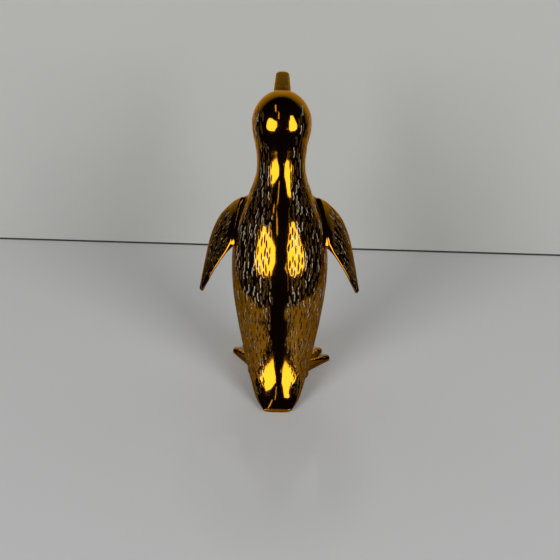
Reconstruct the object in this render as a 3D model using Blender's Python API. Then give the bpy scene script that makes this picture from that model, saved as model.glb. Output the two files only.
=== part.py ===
"""Brass penguin figurine: a hollow casting in two halves, with wings, feet and beak brazed on.

The penguin faces +Y and stands on Z = 0. Its left side is on -X. Sizes here are in millimetres
and are turned into metres when a mesh is made. Places on the bird are measured forward from the
end of its tail, and the whole is centred between tail and beak at the end.
"""

import math

import bmesh
import bpy
import numpy as np
from mathutils import Vector
from mathutils.bvhtree import BVHTree

MM = 0.001
SIDES = {"left": -1.0, "right": 1.0}

# Clearances and walls
GAP = 0.3                 # what is left between two pieces that are fitted together
WALL = 2.8                # thickness of the cast shell
CAVITY_TIP = 2.5          # least half height of the cavity, where it starts in the tail

# Body
TAIL_WIDTH = 19.2
HIP_WIDTH = 56.6
BODY_WIDTH = 63.6
SHOULDER_WIDTH = 56.8
NECK_WIDTH = 32.0
HEAD_WIDTH = 38.0
BACK_DEPTH = 26.4         # from the body's axis to the back at its fullest
BELLY_DEPTH = 33.0        # from the body's axis to the front there
TRUNK_STEP = 21.0         # rise from one cross-section of the trunk to the next
# one row for each cross-section from the tail's end to the middle of the head: steps forward and
# up from the one before, lean of the axis from upright, half width, depth to the back and the front
BODY_SECTIONS = (
    (0.8, 2.2, 80, TAIL_WIDTH / 2, 1.9, 2.6),
    (8.6, 1.5, 64, 14.3, 6.0, 3.1),
    (12.3, 6.8, 49, 18.8, 11.5, 6.4),
    (12.2, 16.9, 33, 24.0, 16.5, 15.6),
    (7.6, 20.6, 24, HIP_WIDTH / 2, 19.6, 27.0),
    (7.5, TRUNK_STEP, 20, 31.4, 24.6, 32.0),
    (6.5, TRUNK_STEP, 19, BODY_WIDTH / 2, BACK_DEPTH, BELLY_DEPTH),
    (7.0, 20.0, 19, SHOULDER_WIDTH / 2, 24.2, 29.0),
    (6.0, 17.5, 17, 20.9, 18.6, 21.8),
    (4.3, 14.5, 14, NECK_WIDTH / 2, 16.0, 16.8),
    (3.2, 13.5, 12, 16.4, 17.3, 17.4),
    (3.2, 15.0, 12, HEAD_WIDTH / 2, 20.3, 19.5),
)
CROWN_HEIGHT = 20.5       # from the middle of the head to its top
TAIL_RIM_RADIUS = 0.8     # rounded edge of the blunt tail end
FLOOR_TRIM = 6.0          # depth of the block that files the tail flat on the floor

# Eyes, cast in one with the head
EYE_TURN = 118            # how far round the head from the spine, in degrees
EYE_CLIMB = 0.3           # how far up the crown, as a share of it
EYE_RADIUS = 2.3
EYE_SINK = 1.3            # how deep the middle of the ball lies under the skin

# Seam between the two halves
GROOVE_WIDTH = 2.6
GROOVE_DEPTH = 1.5
GROOVE_FLOOR = 1.4        # width at the bottom of the groove
SEAM_START = 1.5          # first cross-section, counted from the tail, that the bead reaches

# Wings
WING_SECTION = 7.05       # where the wing's root sits, counted in cross-sections from the tail
WING_ANGLE = 84           # how far round from the spine the root sits, in degrees
WING_DROOP = 29           # of the blade's length from straight down
WING_SWEEP = 15           # of the blade's length backwards
WING_TWIST = 60           # of the chord from straight sideways to forward
# along the blade from the root, across it towards the front edge
FRONT_EDGE = ((-15.0, 7.0), (-8.0, 13.2), (5.0, 18.6), (20.0, 16.8), (36.0, 9.8), (52.5, 2.0))
REAR_EDGE = ((14.5, -8.0), (20.5, -7.6), (28.0, -6.9), (36.0, -5.8), (44.5, -4.4), (52.5, -2.2))
WING_ROOT_THICKNESS = 6.4
WING_BLADE_THICKNESS = 3.0
WING_TIP_THICKNESS = 2.2
WING_THINNING = 0.25      # share of the blade over which the thick root thins
WING_CAMBER = 2.2         # how far the middle of the blade bows outwards
WING_SQUARENESS = 3.0     # power of the blade's section: 2 is an ellipse, more is squarer
WING_PEG_RADIUS = 2.0
WING_FILLET_WIDTH = 2.8   # of the braze on the body
WING_FILLET_RISE = 4.2    # of the braze on the blade

# Legs and feet
ANKLE_OUT = 14.5
ANKLE_FORWARD = {"left": 43.5, "right": 40.5}
FOOT_SPLAY = {"left": 20.0, "right": 32.0}
TOE_FAN = 19.5            # angle between neighbouring toes
MIDDLE_TOE = 33.0
SIDE_TOE = 30.0
TOE_WIDTH = 5.6
TOE_HEIGHT = 4.8
WEB_REACH = 20.0
WEB_MARGIN = 7.0          # how far the web goes on past the side toe, in degrees
WEB_SOFTNESS = 3.0        # how gently it turns back to the heel there
WEB_HEIGHT = 2.6
HEEL_REACH = 7.6
SOLE_EDGE = 1.4           # height of the upright edge round the sole
ANKLE_HEIGHT = 9.0
LEG_RADIUS = 6.0
LEG_FLARE = 1.8           # how much wider the leg is where it meets the body
LEG_PEG_RADIUS = 3.0
LEG_FILLET_WIDTH = 2.0
LEG_FILLET_RISE = 2.6

# Beak
BEAK_RISE = 43.0          # angle of the beak above level
BEAK_LENGTH = 18.5        # from the head's surface to the tip
BEAK_BASE_WIDTH = 11.8
BEAK_TIP_WIDTH = 8.4
BEAK_BASE_DEPTH = 9.4
BEAK_TIP_DEPTH = 4.2
BEAK_DROOP = 1.4          # how far the tip bends down
BEAK_CORNER = 2.0         # radius of the tip's corners
BEAK_SQUARENESS = 2.6
BEAK_PEG_RADIUS = 2.6
BEAK_FILLET_WIDTH = 1.6
BEAK_FILLET_RISE = 2.0

# Pegs and braze
PEG_REACH = 3.0           # how far a peg stands into the cavity
PEG_ROOT = 1.6            # how far a peg is rooted in its own piece
FILLET_EDGE = 0.7         # thickness of a braze where it dies out on the piece and on the body
FILLET_SINK = 1.0         # how far its blank runs into both before it is cut to fit

# Vent hole for the hot gas while the halves are brazed
VENT_RADIUS = 1.5
VENT_SECTION = 4.0        # cross-section that it lies in, counted from the tail
VENT_TURN = 192           # how far round from the spine, in degrees

# Steps of the construction
RINGS_PER_SECTION = 3
CROWN_RINGS = 7
BODY_SIDES = 40
CAVITY_RINGS_PER_SECTION = 2
CAVITY_SIDES = 20
WING_RINGS = 11
WING_SIDES = 20
FOOT_SIDES = 56
LEG_SIDES = 24
LEG_CLEARANCE_SIDES = 28  # of the cutter that keeps the braze off the leg
BEAK_RINGS = 8
BEAK_SIDES = 20
PEG_SIDES = 16
EYE_SIDES = 16
TOE_CROWDING = 0.7        # how closely the foot's faces crowd towards the toes
OUTLINE_POWER = 14.0      # sharpness of the corners between toes and web
FOOT_SPREADS = (0.15, 0.35, 0.55, 0.72, 0.85, 0.94, 1.0)
TOE_ROUNDNESS = 4.0       # power by which the foot's top falls to its edge
INSTEP_FALL = 2.5         # power by which it falls from the ankle
QUARTER_ARC = 0.293       # how far a quarter arc's middle lies from the corner, of its radius
SEAM_STEP_MARGIN = 0.3    # least part of a step that is left at an end of the seam
PAST_SKIN = 9.0           # how far a blank or a drill runs past the body's surface
SEARCH_REACH = 24.0       # how far along a piece the edge of its joint is looked for
SEARCH_STEPS = 97
SAMPLES = 400
CUTTER_REACH = 400.0
SHARP_ANGLE = 35.0

BRASS = (0.80, 0.52, 0.12, 1.0)
BRAZE = (0.82, 0.60, 0.20, 1.0)
ROUGHNESS = 0.12


def clear_scene():
    """Remove whatever objects the file opens with."""
    for thing in list(bpy.data.objects):
        bpy.data.objects.remove(thing, do_unlink=True)


def new_collection(name):
    """A collection in the scene."""
    collection = bpy.data.collections.new(name)
    bpy.context.scene.collection.children.link(collection)
    return collection


clear_scene()
PARTS = new_collection("brass_penguin")
CUTTERS = new_collection("cutters")


def through(values, t):
    """Smooth curve through evenly spaced values, read at t."""
    knots = np.asarray(values, float)
    t = np.clip(np.asarray(t, float), 0.0, len(knots) - 1.0)
    low = np.minimum(t.astype(int), len(knots) - 2)
    part = t - low
    slopes = np.gradient(knots)
    a, b = knots[low], knots[low + 1]
    da, db = slopes[low], slopes[low + 1]
    cubic = 2 * a - 2 * b + da + db
    square = 3 * b - 3 * a - 2 * da - db
    return ((cubic * part + square) * part + da) * part + a


def round_turn(sides):
    """Evenly spaced angles round a circle."""
    return np.arange(sides) * 2 * math.pi / sides


def rounded(angle, power):
    """Cosine and sine bent towards a rounded rectangle as power rises above 2."""
    cos, sin = np.cos(angle), np.sin(angle)
    bend = 2.0 / power
    return np.sign(cos) * np.abs(cos) ** bend, np.sign(sin) * np.abs(sin) ** bend


def add_mesh(name, points, faces, collection):
    """A named object from points in millimetres."""
    mesh = bpy.data.meshes.new(name)
    mesh.from_pydata([tuple(p * MM) for p in points], [], faces)
    build = bmesh.new()
    build.from_mesh(mesh)
    bmesh.ops.recalc_face_normals(build, faces=build.faces)
    build.to_mesh(mesh)
    build.free()
    thing = bpy.data.objects.new(name, mesh)
    collection.objects.link(thing)
    return thing


def band(first, second, sides):
    """Four-sided faces between two rings, given the number of each ring's first point."""
    return [(first + j, first + (j + 1) % sides, second + (j + 1) % sides, second + j)
            for j in range(sides)]


def loft(name, rings, collection, pole=None, endless=False):
    """Closed solid over a stack of rings: with flat ends, a point at the far end, or the far end
    joined to the near one."""
    count, sides = rings.shape[:2]
    last = (count - 1) * sides
    points = rings.reshape(-1, 3)
    faces = [face for i in range(count - 1) for face in band(i * sides, (i + 1) * sides, sides)]
    if endless:
        return add_mesh(name, points, faces + band(last, 0, sides), collection)
    faces.append(tuple(range(sides)))
    if pole is None:
        faces.append(tuple(last + j for j in reversed(range(sides))))
    else:
        points = np.vstack((points, pole))
        faces.extend((last + j, last + (j + 1) % sides, count * sides) for j in range(sides))
    return add_mesh(name, points, faces, collection)


def keep_primitive(name, collection):
    """Name the primitive that was just added and move it to its collection."""
    thing = bpy.context.object
    thing.name = name
    for other in list(thing.users_collection):
        other.objects.unlink(thing)
    collection.objects.link(thing)
    return thing


def cylinder(name, start, end, radius, sides, collection):
    """Closed cylinder between two points in millimetres."""
    start, end = Vector(start), Vector(end)
    axis = end - start
    bpy.ops.mesh.primitive_cylinder_add(vertices=sides, radius=radius * MM, depth=axis.length * MM,
                                        location=(start + end) / 2 * MM,
                                        rotation=axis.to_track_quat("Z", "Y").to_euler())
    return keep_primitive(name, collection)


def box(name, low, high, collection):
    """Closed box between two corners in millimetres."""
    low, high = Vector(low), Vector(high)
    bpy.ops.mesh.primitive_cube_add(size=1.0, location=(low + high) / 2 * MM,
                                    scale=(high - low) * MM)
    return keep_primitive(name, collection)


def ball(name, middle, radius, sides, collection):
    """Sphere round a point in millimetres."""
    bpy.ops.mesh.primitive_uv_sphere_add(segments=sides, ring_count=sides // 2, radius=radius * MM,
                                         location=Vector(middle) * MM)
    return keep_primitive(name, collection)


def combine(target, cutter, operation):
    """Leave a Boolean modifier with the exact solver on the target."""
    change = target.modifiers.new(operation.lower(), "BOOLEAN")
    change.operation = operation
    change.object = cutter
    change.solver = "EXACT"


# The body's surface

SECTIONS = np.array(BODY_SECTIONS)
SECTIONS[:, :2] = np.cumsum(SECTIONS[:, :2], axis=0)
HEAD = len(SECTIONS) - 1.0


def body_frame(t):
    """Middle, axis lean and half sizes of the cross-section t; past HEAD it climbs the crown."""
    stem = np.minimum(t, HEAD)
    forward, height, lean, width, back, front = (through(c, stem) for c in SECTIONS.T)
    lean = np.radians(lean)
    climb = np.clip(t - HEAD, 0.0, 1.0) * math.pi / 2
    forward = forward + CROWN_HEIGHT * np.sin(climb) * np.sin(lean)
    height = height + CROWN_HEIGHT * np.sin(climb) * np.cos(lean)
    return forward, height, lean, width, back, front, climb


def body_point(t, angle, grow=0.0):
    """Point of the body's surface: t counts cross-sections from the tail, angle turns from the
    spine past the right side to the belly, and grow moves the surface outwards."""
    t, angle = np.broadcast_arrays(np.asarray(t, float), np.asarray(angle, float))
    forward, height, lean, width, back, front, climb = body_frame(t)
    depth = np.where(np.cos(angle) > 0, back, front)
    out = (width + grow) * np.cos(climb) * np.sin(angle)
    behind = (depth + grow) * np.cos(climb) * np.cos(angle)
    lift = grow * np.sin(climb)
    y = forward - behind * np.cos(lean) + lift * np.sin(lean)
    z = height + behind * np.sin(lean) + lift * np.cos(lean)
    return np.stack((out, y, z), axis=-1)


def ring_places(first, per_section):
    """Where rings lie along the body, from cross-section first to just under the crown."""
    stem = np.linspace(first, HEAD, int(round((HEAD - first) * per_section)) + 1)
    return np.concatenate((stem, HEAD + np.arange(1, CROWN_RINGS) / CROWN_RINGS))


def body_rings(grow, first, sides, per_section):
    """Rings of the body's surface from cross-section first to just under the crown."""
    return body_point(ring_places(first, per_section)[:, None], round_turn(sides), grow)


def tail_rings(rings, grow):
    """The rounded rim that leads from the first ring to the blunt end of the tail."""
    middle = rings[0].mean(axis=0)
    lean = math.radians(SECTIONS[0, 2])
    axis = np.array((0.0, math.sin(lean), math.cos(lean)))
    reach = np.linalg.norm(rings[0] - middle, axis=1, keepdims=True)
    added = []
    for turn in (90, 60, 30):
        angle = math.radians(turn)
        inward = TAIL_RIM_RADIUS * (1 - math.cos(angle)) / reach
        drop = (TAIL_RIM_RADIUS + grow) * math.sin(angle)
        added.append(rings[0] + (middle - rings[0]) * inward - axis * drop)
    return np.array(added)


def body_solid(name, grow, collection):
    """The whole outside of the bird's body, moved outwards by grow."""
    rings = body_rings(grow, 0.0, BODY_SIDES, RINGS_PER_SECTION)
    rings = np.concatenate((tail_rings(rings, grow), rings))
    return loft(name, rings, collection, pole=body_point(HEAD + 1.0, 0.0, grow))


def body_skin():
    """Search tree of the body's surface, which pieces are fitted against."""
    rings = body_rings(0.0, 0.0, BODY_SIDES, RINGS_PER_SECTION)
    starts = range(0, (len(rings) - 1) * BODY_SIDES, BODY_SIDES)
    faces = [face for start in starts for face in band(start, start + BODY_SIDES, BODY_SIDES)]
    return BVHTree.FromPolygons([Vector(p) for p in rings.reshape(-1, 3)], faces)


SKIN = body_skin()


def height_over_skin(point):
    """Distance of a point from the body's surface, below nought inside the body."""
    nearest, normal, _, _ = SKIN.find_nearest(Vector(point))
    return (Vector(point) - nearest).dot(normal)


# The beak's surface

def beak_seat():
    """Cross-section number and distance from the head's middle where the beak's axis meets it."""
    middle = SECTIONS[-1, :2]
    t = HEAD + np.linspace(0.0, 1.0, SAMPLES)
    rim = body_point(t, math.pi)[:, 1:] - middle
    rise = np.degrees(np.arctan2(rim[:, 1], rim[:, 0]))
    return np.interp(BEAK_RISE, rise, t), np.interp(BEAK_RISE, rise, np.linalg.norm(rim, axis=1))


BEAK_SECTION, HEAD_REACH = beak_seat()
BEAK_AXIS = np.array((0.0, math.cos(math.radians(BEAK_RISE)), math.sin(math.radians(BEAK_RISE))))
BEAK_UP = np.array((0.0, -BEAK_AXIS[2], BEAK_AXIS[1]))
BEAK_ROOT = np.append(0.0, SECTIONS[-1, :2]) + BEAK_AXIS * HEAD_REACH


def beak_rings(along, grow, corner=0.0):
    """Cross-sections of the beak at distances along its axis from the head's surface."""
    along = np.atleast_1d(np.asarray(along, float))[:, None]
    share = np.clip(along / BEAK_LENGTH, 0.0, 1.0)
    width = BEAK_BASE_WIDTH + (BEAK_TIP_WIDTH - BEAK_BASE_WIDTH) * share
    depth = BEAK_BASE_DEPTH + (BEAK_TIP_DEPTH - BEAK_BASE_DEPTH) * share
    cos, sin = rounded(round_turn(BEAK_SIDES), BEAK_SQUARENESS)
    inward = np.reshape(corner, (-1, 1))
    out = (width / 2 + grow - inward) * cos
    up = (depth / 2 + grow - inward * BEAK_TIP_DEPTH / BEAK_TIP_WIDTH) * sin
    up = up - BEAK_DROOP * share ** 2
    middle = BEAK_ROOT + along[..., None] * BEAK_AXIS
    return middle + out[..., None] * np.array((1.0, 0.0, 0.0)) + up[..., None] * BEAK_UP


def whole_beak(grow):
    """Beak from inside the head to its blunt tip, whose corners are rounded."""
    shaft = np.linspace(-PAST_SKIN, BEAK_LENGTH - BEAK_CORNER, BEAK_RINGS)
    turn = np.radians((30.0, 60.0, 90.0))
    tip = BEAK_LENGTH - BEAK_CORNER + BEAK_CORNER * np.sin(turn)
    corner = BEAK_CORNER * (1 - np.cos(turn))
    return np.concatenate((beak_rings(shaft, grow), beak_rings(tip, grow, corner)))


# The wings' surface

def wing_axes():
    """Root of the right wing, and its directions: along, across to the front edge, and out."""
    root = body_point(WING_SECTION, math.radians(WING_ANGLE))
    droop, sweep, twist = (math.radians(a) for a in (WING_DROOP, WING_SWEEP, WING_TWIST))
    along = np.array((math.sin(droop) * math.cos(sweep), -math.sin(sweep),
                      -math.cos(droop) * math.cos(sweep)))
    across = np.array((math.cos(twist), math.sin(twist), 0.0))
    across = across - along * across.dot(along)
    across = across / np.linalg.norm(across)
    return root, along, across, np.cross(along, across)


WING_ROOT, WING_ALONG, WING_ACROSS, WING_OUT = wing_axes()


def wing_rings(t, grow, shrink=0.0):
    """Cross-sections of the right wing; t runs from 0 at the root to 1 at the tip."""
    t = np.atleast_1d(np.asarray(t, float))
    front = [through(c, t * (len(FRONT_EDGE) - 1)) for c in zip(*FRONT_EDGE)]
    rear = [through(c, t * (len(REAR_EDGE) - 1)) for c in zip(*REAR_EDGE)]
    front, rear = np.stack(front, axis=1), np.stack(rear, axis=1)
    middle, half = (front + rear) / 2, (front - rear) / 2
    chord = np.linalg.norm(half, axis=1, keepdims=True)
    half = half * (1 + (grow - np.reshape(shrink, (-1, 1))) / chord)
    thick = np.interp(t, (0.0, WING_THINNING, 1.0),
                      (WING_ROOT_THICKNESS, WING_BLADE_THICKNESS, WING_TIP_THICKNESS)) / 2
    thick = thick + grow - np.reshape(shrink, -1)
    cos, sin = rounded(round_turn(WING_SIDES), WING_SQUARENESS)
    bow = WING_CAMBER * np.sin(math.pi * np.clip(t, 0.0, 1.0))
    plan = middle[:, None, :] + half[:, None, :] * cos[None, :, None]
    out = bow[:, None] + thick[:, None] * sin[None, :]
    return WING_ROOT + (plan[..., :1] * WING_ALONG + plan[..., 1:] * WING_ACROSS
                        + out[..., None] * WING_OUT)


def whole_wing(grow):
    """Right wing from inside the body to its rounded tip."""
    blade = wing_rings(np.linspace(0.0, 1.0, WING_RINGS), grow)
    root = blade[:1] - np.array((PAST_SKIN, 0.0, 0.0))
    turn = np.radians((35.0, 65.0))
    radius = WING_TIP_THICKNESS / 2
    tip = wing_rings(np.ones(len(turn)), grow, radius * (1 - np.cos(turn)))
    tip = tip + ((radius + grow) * np.sin(turn))[:, None, None] * WING_ALONG
    return np.concatenate((root, blade, tip))


def wing_lines(along, grow):
    """Cross-sections at distances along the blade, and sideways into the body below nought."""
    rings = wing_rings(np.clip(along / FRONT_EDGE[-1][0], 0.0, 1.0), grow)
    return rings + np.minimum(along, 0.0)[:, None, None] * np.array((1.0, 0.0, 0.0))


# The feet's and legs' surface

TOES = ((0.0, MIDDLE_TOE), (TOE_FAN, SIDE_TOE), (-TOE_FAN, SIDE_TOE))


def place_foot(side, along, across, height):
    """Places measured from the ankle, along the middle toe and outwards, put into the bird."""
    splay = math.radians(FOOT_SPLAY[side])
    out = ANKLE_OUT + along * math.sin(splay) + across * math.cos(splay)
    forward = ANKLE_FORWARD[side] + along * math.cos(splay) - across * math.sin(splay)
    return np.stack((SIDES[side] * out, forward, height), axis=-1)


def toe_exit(turn, length):
    """Distance at which a ray, turned from a toe's axis, leaves the toe with its round end."""
    half = TOE_WIDTH / 2
    middle = length - half
    sin, cos = np.sin(turn), np.cos(turn)
    flank = half / np.maximum(np.abs(sin), np.finfo(float).eps)
    end = middle * cos + np.sqrt(np.maximum(half ** 2 - (middle * sin) ** 2, 0.0))
    exits = np.where(flank * cos < middle, flank, end)
    return np.where(cos > 0, exits, half)


def sole_outline(angle):
    """Reach of the sole from the ankle, for angles measured from the middle toe."""
    past = np.degrees(np.abs(angle)) - TOE_FAN - WEB_MARGIN
    web = 1 / (1 + np.exp(past / WEB_SOFTNESS))
    reach = HEEL_REACH + (WEB_REACH - HEEL_REACH) * web
    total = reach ** OUTLINE_POWER
    for heading, length in TOES:
        total = total + toe_exit(angle - math.radians(heading), length) ** OUTLINE_POWER
    return total ** (1 / OUTLINE_POWER)


def foot_height(along, across):
    """Height of the toes and of the web between them, at places measured from the ankle."""
    height = np.full(np.shape(along), WEB_HEIGHT)
    for heading, _ in TOES:
        turn = math.radians(heading)
        offset = across * math.cos(turn) - along * math.sin(turn)
        ridge = TOE_HEIGHT * np.sqrt(np.maximum(1 - (2 * offset / TOE_WIDTH) ** 2, 0.0))
        height = np.maximum(height, ridge)
    return height


def leg_top(side):
    """Height where the leg's axis meets the body."""
    floor = Vector(place_foot(side, 0.0, 0.0, 0.0))
    return SKIN.ray_cast(floor, Vector((0.0, 0.0, 1.0)))[0].z


LEG_TOP = {side: leg_top(side) for side in SIDES}


def leg_rings(side, along, grow, sides=LEG_SIDES):
    """Rings round the leg at distances down from the body; the leg widens upwards."""
    height = LEG_TOP[side] - along[:, None] + np.zeros(sides)
    radius = np.interp(height, (ANKLE_HEIGHT, LEG_TOP[side]), (LEG_RADIUS, LEG_RADIUS + LEG_FLARE))
    angle = round_turn(sides)
    return place_foot(side, (radius + grow) * np.cos(angle), (radius + grow) * np.sin(angle), height)


def foot_rings(side):
    """Rings from inside the body, down the leg and over the toes, to the sole."""
    step = round_turn(FOOT_SIDES)
    angle = step - TOE_CROWDING * np.sin(step)
    angle = (angle + math.pi) % (2 * math.pi) - math.pi
    rings = []
    for radius, height in ((LEG_RADIUS + LEG_FLARE, LEG_TOP[side] + PAST_SKIN),
                           (LEG_RADIUS + LEG_FLARE, LEG_TOP[side]), (LEG_RADIUS, ANKLE_HEIGHT)):
        rings.append((radius * np.cos(angle), radius * np.sin(angle), np.full(FOOT_SIDES, height)))
    reach = sole_outline(angle)
    for spread in FOOT_SPREADS:
        radius = LEG_RADIUS + (reach - LEG_RADIUS) * spread
        along, across = radius * np.cos(angle), radius * np.sin(angle)
        top = foot_height(along, across)
        top = SOLE_EDGE + (top - SOLE_EDGE) * math.sqrt(1 - spread ** TOE_ROUNDNESS)
        top = top + (ANKLE_HEIGHT - top) * (1 - spread) ** INSTEP_FALL
        rings.append((along, across, top))
    rings.append((rings[-1][0], rings[-1][1], np.zeros(FOOT_SIDES)))
    along, across, height = (np.array([r[i] for r in rings]) for i in range(3))
    return place_foot(side, along, across, height)


# Pegs, and the holes that they sit in

PIECES = ("wing_left", "wing_right", "foot_left", "foot_right", "beak")
PEG_RADIUS = {"beak": BEAK_PEG_RADIUS, "wing": WING_PEG_RADIUS, "foot": LEG_PEG_RADIUS}
FILLETS = {"beak": (BEAK_FILLET_WIDTH, BEAK_FILLET_RISE),
           "wing": (WING_FILLET_WIDTH, WING_FILLET_RISE),
           "foot": (LEG_FILLET_WIDTH, LEG_FILLET_RISE)}


def mirrored(rings, side):
    """Rings of the right side turned into those of the side asked for."""
    return rings * np.array((SIDES[side], 1.0, 1.0))


def peg_line(piece):
    """Place on the body's surface and direction away from the body of a piece's peg."""
    if piece == "beak":
        return BEAK_ROOT, BEAK_AXIS
    kind, side = piece.split("_")
    if kind == "wing":
        return mirrored(WING_ROOT, side), np.array((SIDES[side], 0.0, 0.0))
    return place_foot(side, 0.0, 0.0, LEG_TOP[side]), np.array((0.0, 0.0, -1.0))


def peg(piece, name, grow, outward):
    """Round peg through the shell at a piece's root, or with grow the hole that it sits in."""
    place, away = peg_line(piece)
    radius = PEG_RADIUS[piece.split("_")[0]] + grow
    inward = WALL + PEG_REACH + grow
    return cylinder(name, place - away * inward, place + away * outward, radius, PEG_SIDES, CUTTERS)


SOCKETS = {piece: peg(piece, piece + "_socket", GAP, PAST_SKIN) for piece in PIECES}
SNUG_BODY = body_solid("body_clearance", GAP, CUTTERS)


def fitted(piece, solid):
    """Cut a wing, foot or beak to the body's surface and give it its peg."""
    combine(solid, SNUG_BODY, "DIFFERENCE")
    combine(solid, peg(piece, piece + "_peg", 0.0, PEG_ROOT), "UNION")


# Brazed joints

def follow(rings_at, along, grow):
    """One place on each line along a piece's surface, moved outwards by grow."""
    line = np.arange(len(along))
    return rings_at(along, grow)[line, line]


def leaving(rings_at, grow, cover):
    """How far along each line, moved outwards by grow, it rises by cover over the body."""
    along = np.linspace(-SEARCH_REACH, SEARCH_REACH, SEARCH_STEPS)
    places = []
    for line in rings_at(along, grow).transpose(1, 0, 2):
        heights = np.array([height_over_skin(point) for point in line]) - cover
        out = max(int(np.argmax(heights > 0)), 1)
        places.append(np.interp(0.0, heights[out - 1:out + 1], along[out - 1:out + 1]))
    return np.array(places)


def braze_ring(name, piece, rings_at, snug_piece):
    """Hollow fillet round a joint: up the piece by its rise and out on the body by its width,
    turned as a sleeve round the piece and then cut to fit the body, the piece and its peg."""
    width, rise = FILLETS[piece.split("_")[0]]
    bend = FILLET_EDGE + QUARTER_ARC * (width - FILLET_EDGE)
    top = leaving(rings_at, 0.0, 0.0) + rise
    foot = np.minimum(leaving(rings_at, width, FILLET_EDGE), top)
    hollow = np.maximum(foot + QUARTER_ARC * (top - foot), leaving(rings_at, bend, FILLET_EDGE))
    hollow = np.minimum(hollow, top)
    near, far = np.full_like(top, foot.min() - FILLET_SINK), np.full_like(top, top.max() + FILLET_SINK)
    outline = ((near, width), (foot, width), (hollow, bend), (top, FILLET_EDGE),
               (top, -FILLET_SINK), (far, -FILLET_SINK))
    sleeve = loft(name, np.array([follow(rings_at, along, grow) for along, grow in outline]), PARTS)
    snug_peg = peg(piece, piece + "_peg_clearance", GAP, PEG_ROOT + GAP)
    for cutter in (SNUG_BODY, snug_piece, snug_peg):
        combine(sleeve, cutter, "DIFFERENCE")


def make_wing(side):
    """Blade of one wing with its peg, and the braze round its root."""
    name = "wing_" + side
    fitted(name, loft(name, mirrored(whole_wing(0.0), side), PARTS))
    snug = loft(name + "_clearance", mirrored(whole_wing(GAP), side), CUTTERS)

    def lines(along, grow):
        return mirrored(wing_lines(along, grow), side)

    braze_ring("wing_braze_" + side, name, lines, snug)


def make_foot(side):
    """Foot and leg with the peg, and the braze round the top of the leg."""
    name = "foot_" + side
    fitted(name, loft(name, foot_rings(side), PARTS))
    ends = np.array((LEG_TOP[side], LEG_TOP[side] - ANKLE_HEIGHT, 0.0, -PAST_SKIN))
    snug = loft(name + "_clearance", leg_rings(side, ends, GAP, LEG_CLEARANCE_SIDES), CUTTERS)

    def lines(along, grow):
        return leg_rings(side, along, grow)

    braze_ring("ankle_braze_" + side, name, lines, snug)


def make_beak():
    """Beak with its peg, and the braze round its base."""
    fitted("beak", loft("beak", whole_beak(0.0), PARTS))
    snug = loft("beak_clearance", whole_beak(GAP), CUTTERS)
    braze_ring("beak_braze", "beak", beak_rings, snug)


# The seam between the halves

def seam_path(start, end, angle):
    """Points down the middle of the bird, from cross-section start to cross-section end."""
    low, high = min(start, end), max(start, end)
    rings = ring_places(0.0, RINGS_PER_SECTION)
    apart = SEAM_STEP_MARGIN / RINGS_PER_SECTION
    inner = rings[(rings > low + apart) & (rings < high - apart)]
    t = np.concatenate(((low,), inner, (high,)))
    return body_point(t if end > start else t[::-1], math.radians(angle))


def spine_path(start):
    """Line up the spine, over the crown and down to the beak."""
    return np.concatenate((seam_path(start, HEAD + 1.0, 0.0),
                           seam_path(HEAD + 1.0, BEAK_SECTION, 180.0)[1:]))


def belly_path(start):
    """Line from the beak down the throat and belly towards the tail."""
    return seam_path(BEAK_SECTION, start, 180.0)


def seam_strip(name, path, widths, levels, collection):
    """Solid strip along a path; levels are heights above the surface, widths its breadth there."""
    along = np.gradient(path, axis=0)
    along = along / np.linalg.norm(along, axis=1, keepdims=True)
    out = np.stack((np.zeros(len(path)), -along[:, 2], along[:, 1]), axis=1)
    right = [(w / 2, h) for w, h in zip(widths, levels)]
    corners = right + [(-x, h) for x, h in reversed(right)]
    rings = np.stack([path + out * h + np.array((x, 0.0, 0.0)) for x, h in corners], axis=1)
    return loft(name, rings, collection)


def seam_groove(name, path):
    """Groove along the seam, open to the outside."""
    return seam_strip(name, path, (GROOVE_FLOOR, GROOVE_WIDTH, GROOVE_WIDTH),
                      (-GROOVE_DEPTH, 0.0, GROOVE_DEPTH), CUTTERS)


def seam_bead(name, path):
    """Braze in the groove, ground flush with the body."""
    bead = seam_strip(name, path, (GROOVE_FLOOR - 2 * GAP, GROOVE_WIDTH - 2 * GAP),
                      (GAP - GROOVE_DEPTH, 0.0), PARTS)
    combine(bead, SOCKETS["beak"], "DIFFERENCE")


# The shell

def cavity_solid():
    """The hollow inside the shell, from where the tail is thick enough to the crown."""
    t = np.linspace(0.0, HEAD, SAMPLES)
    thinner = np.minimum(*body_frame(t)[4:6])
    start = t[np.argmax(thinner > WALL + CAVITY_TIP)]
    rings = body_rings(-WALL, start, CAVITY_SIDES, CAVITY_RINGS_PER_SECTION)
    return loft("cavity", rings, CUTTERS, pole=body_point(HEAD + 1.0, 0.0, -WALL))


def vent_hole():
    """Drill for the vent, square to the shell beside the seam under the belly."""
    ends = body_point(VENT_SECTION, math.radians(VENT_TURN), np.array((PAST_SKIN, -PAST_SKIN)))
    return cylinder("vent", ends[0], ends[1], VENT_RADIUS, PEG_SIDES, CUTTERS)


def eye(side):
    """Ball that stands a little out of the head."""
    skin = body_point(HEAD + EYE_CLIMB, math.radians(EYE_TURN), -EYE_SINK)
    return ball("eye_" + side, mirrored(skin, side), EYE_RADIUS, EYE_SIDES, CUTTERS)


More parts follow.
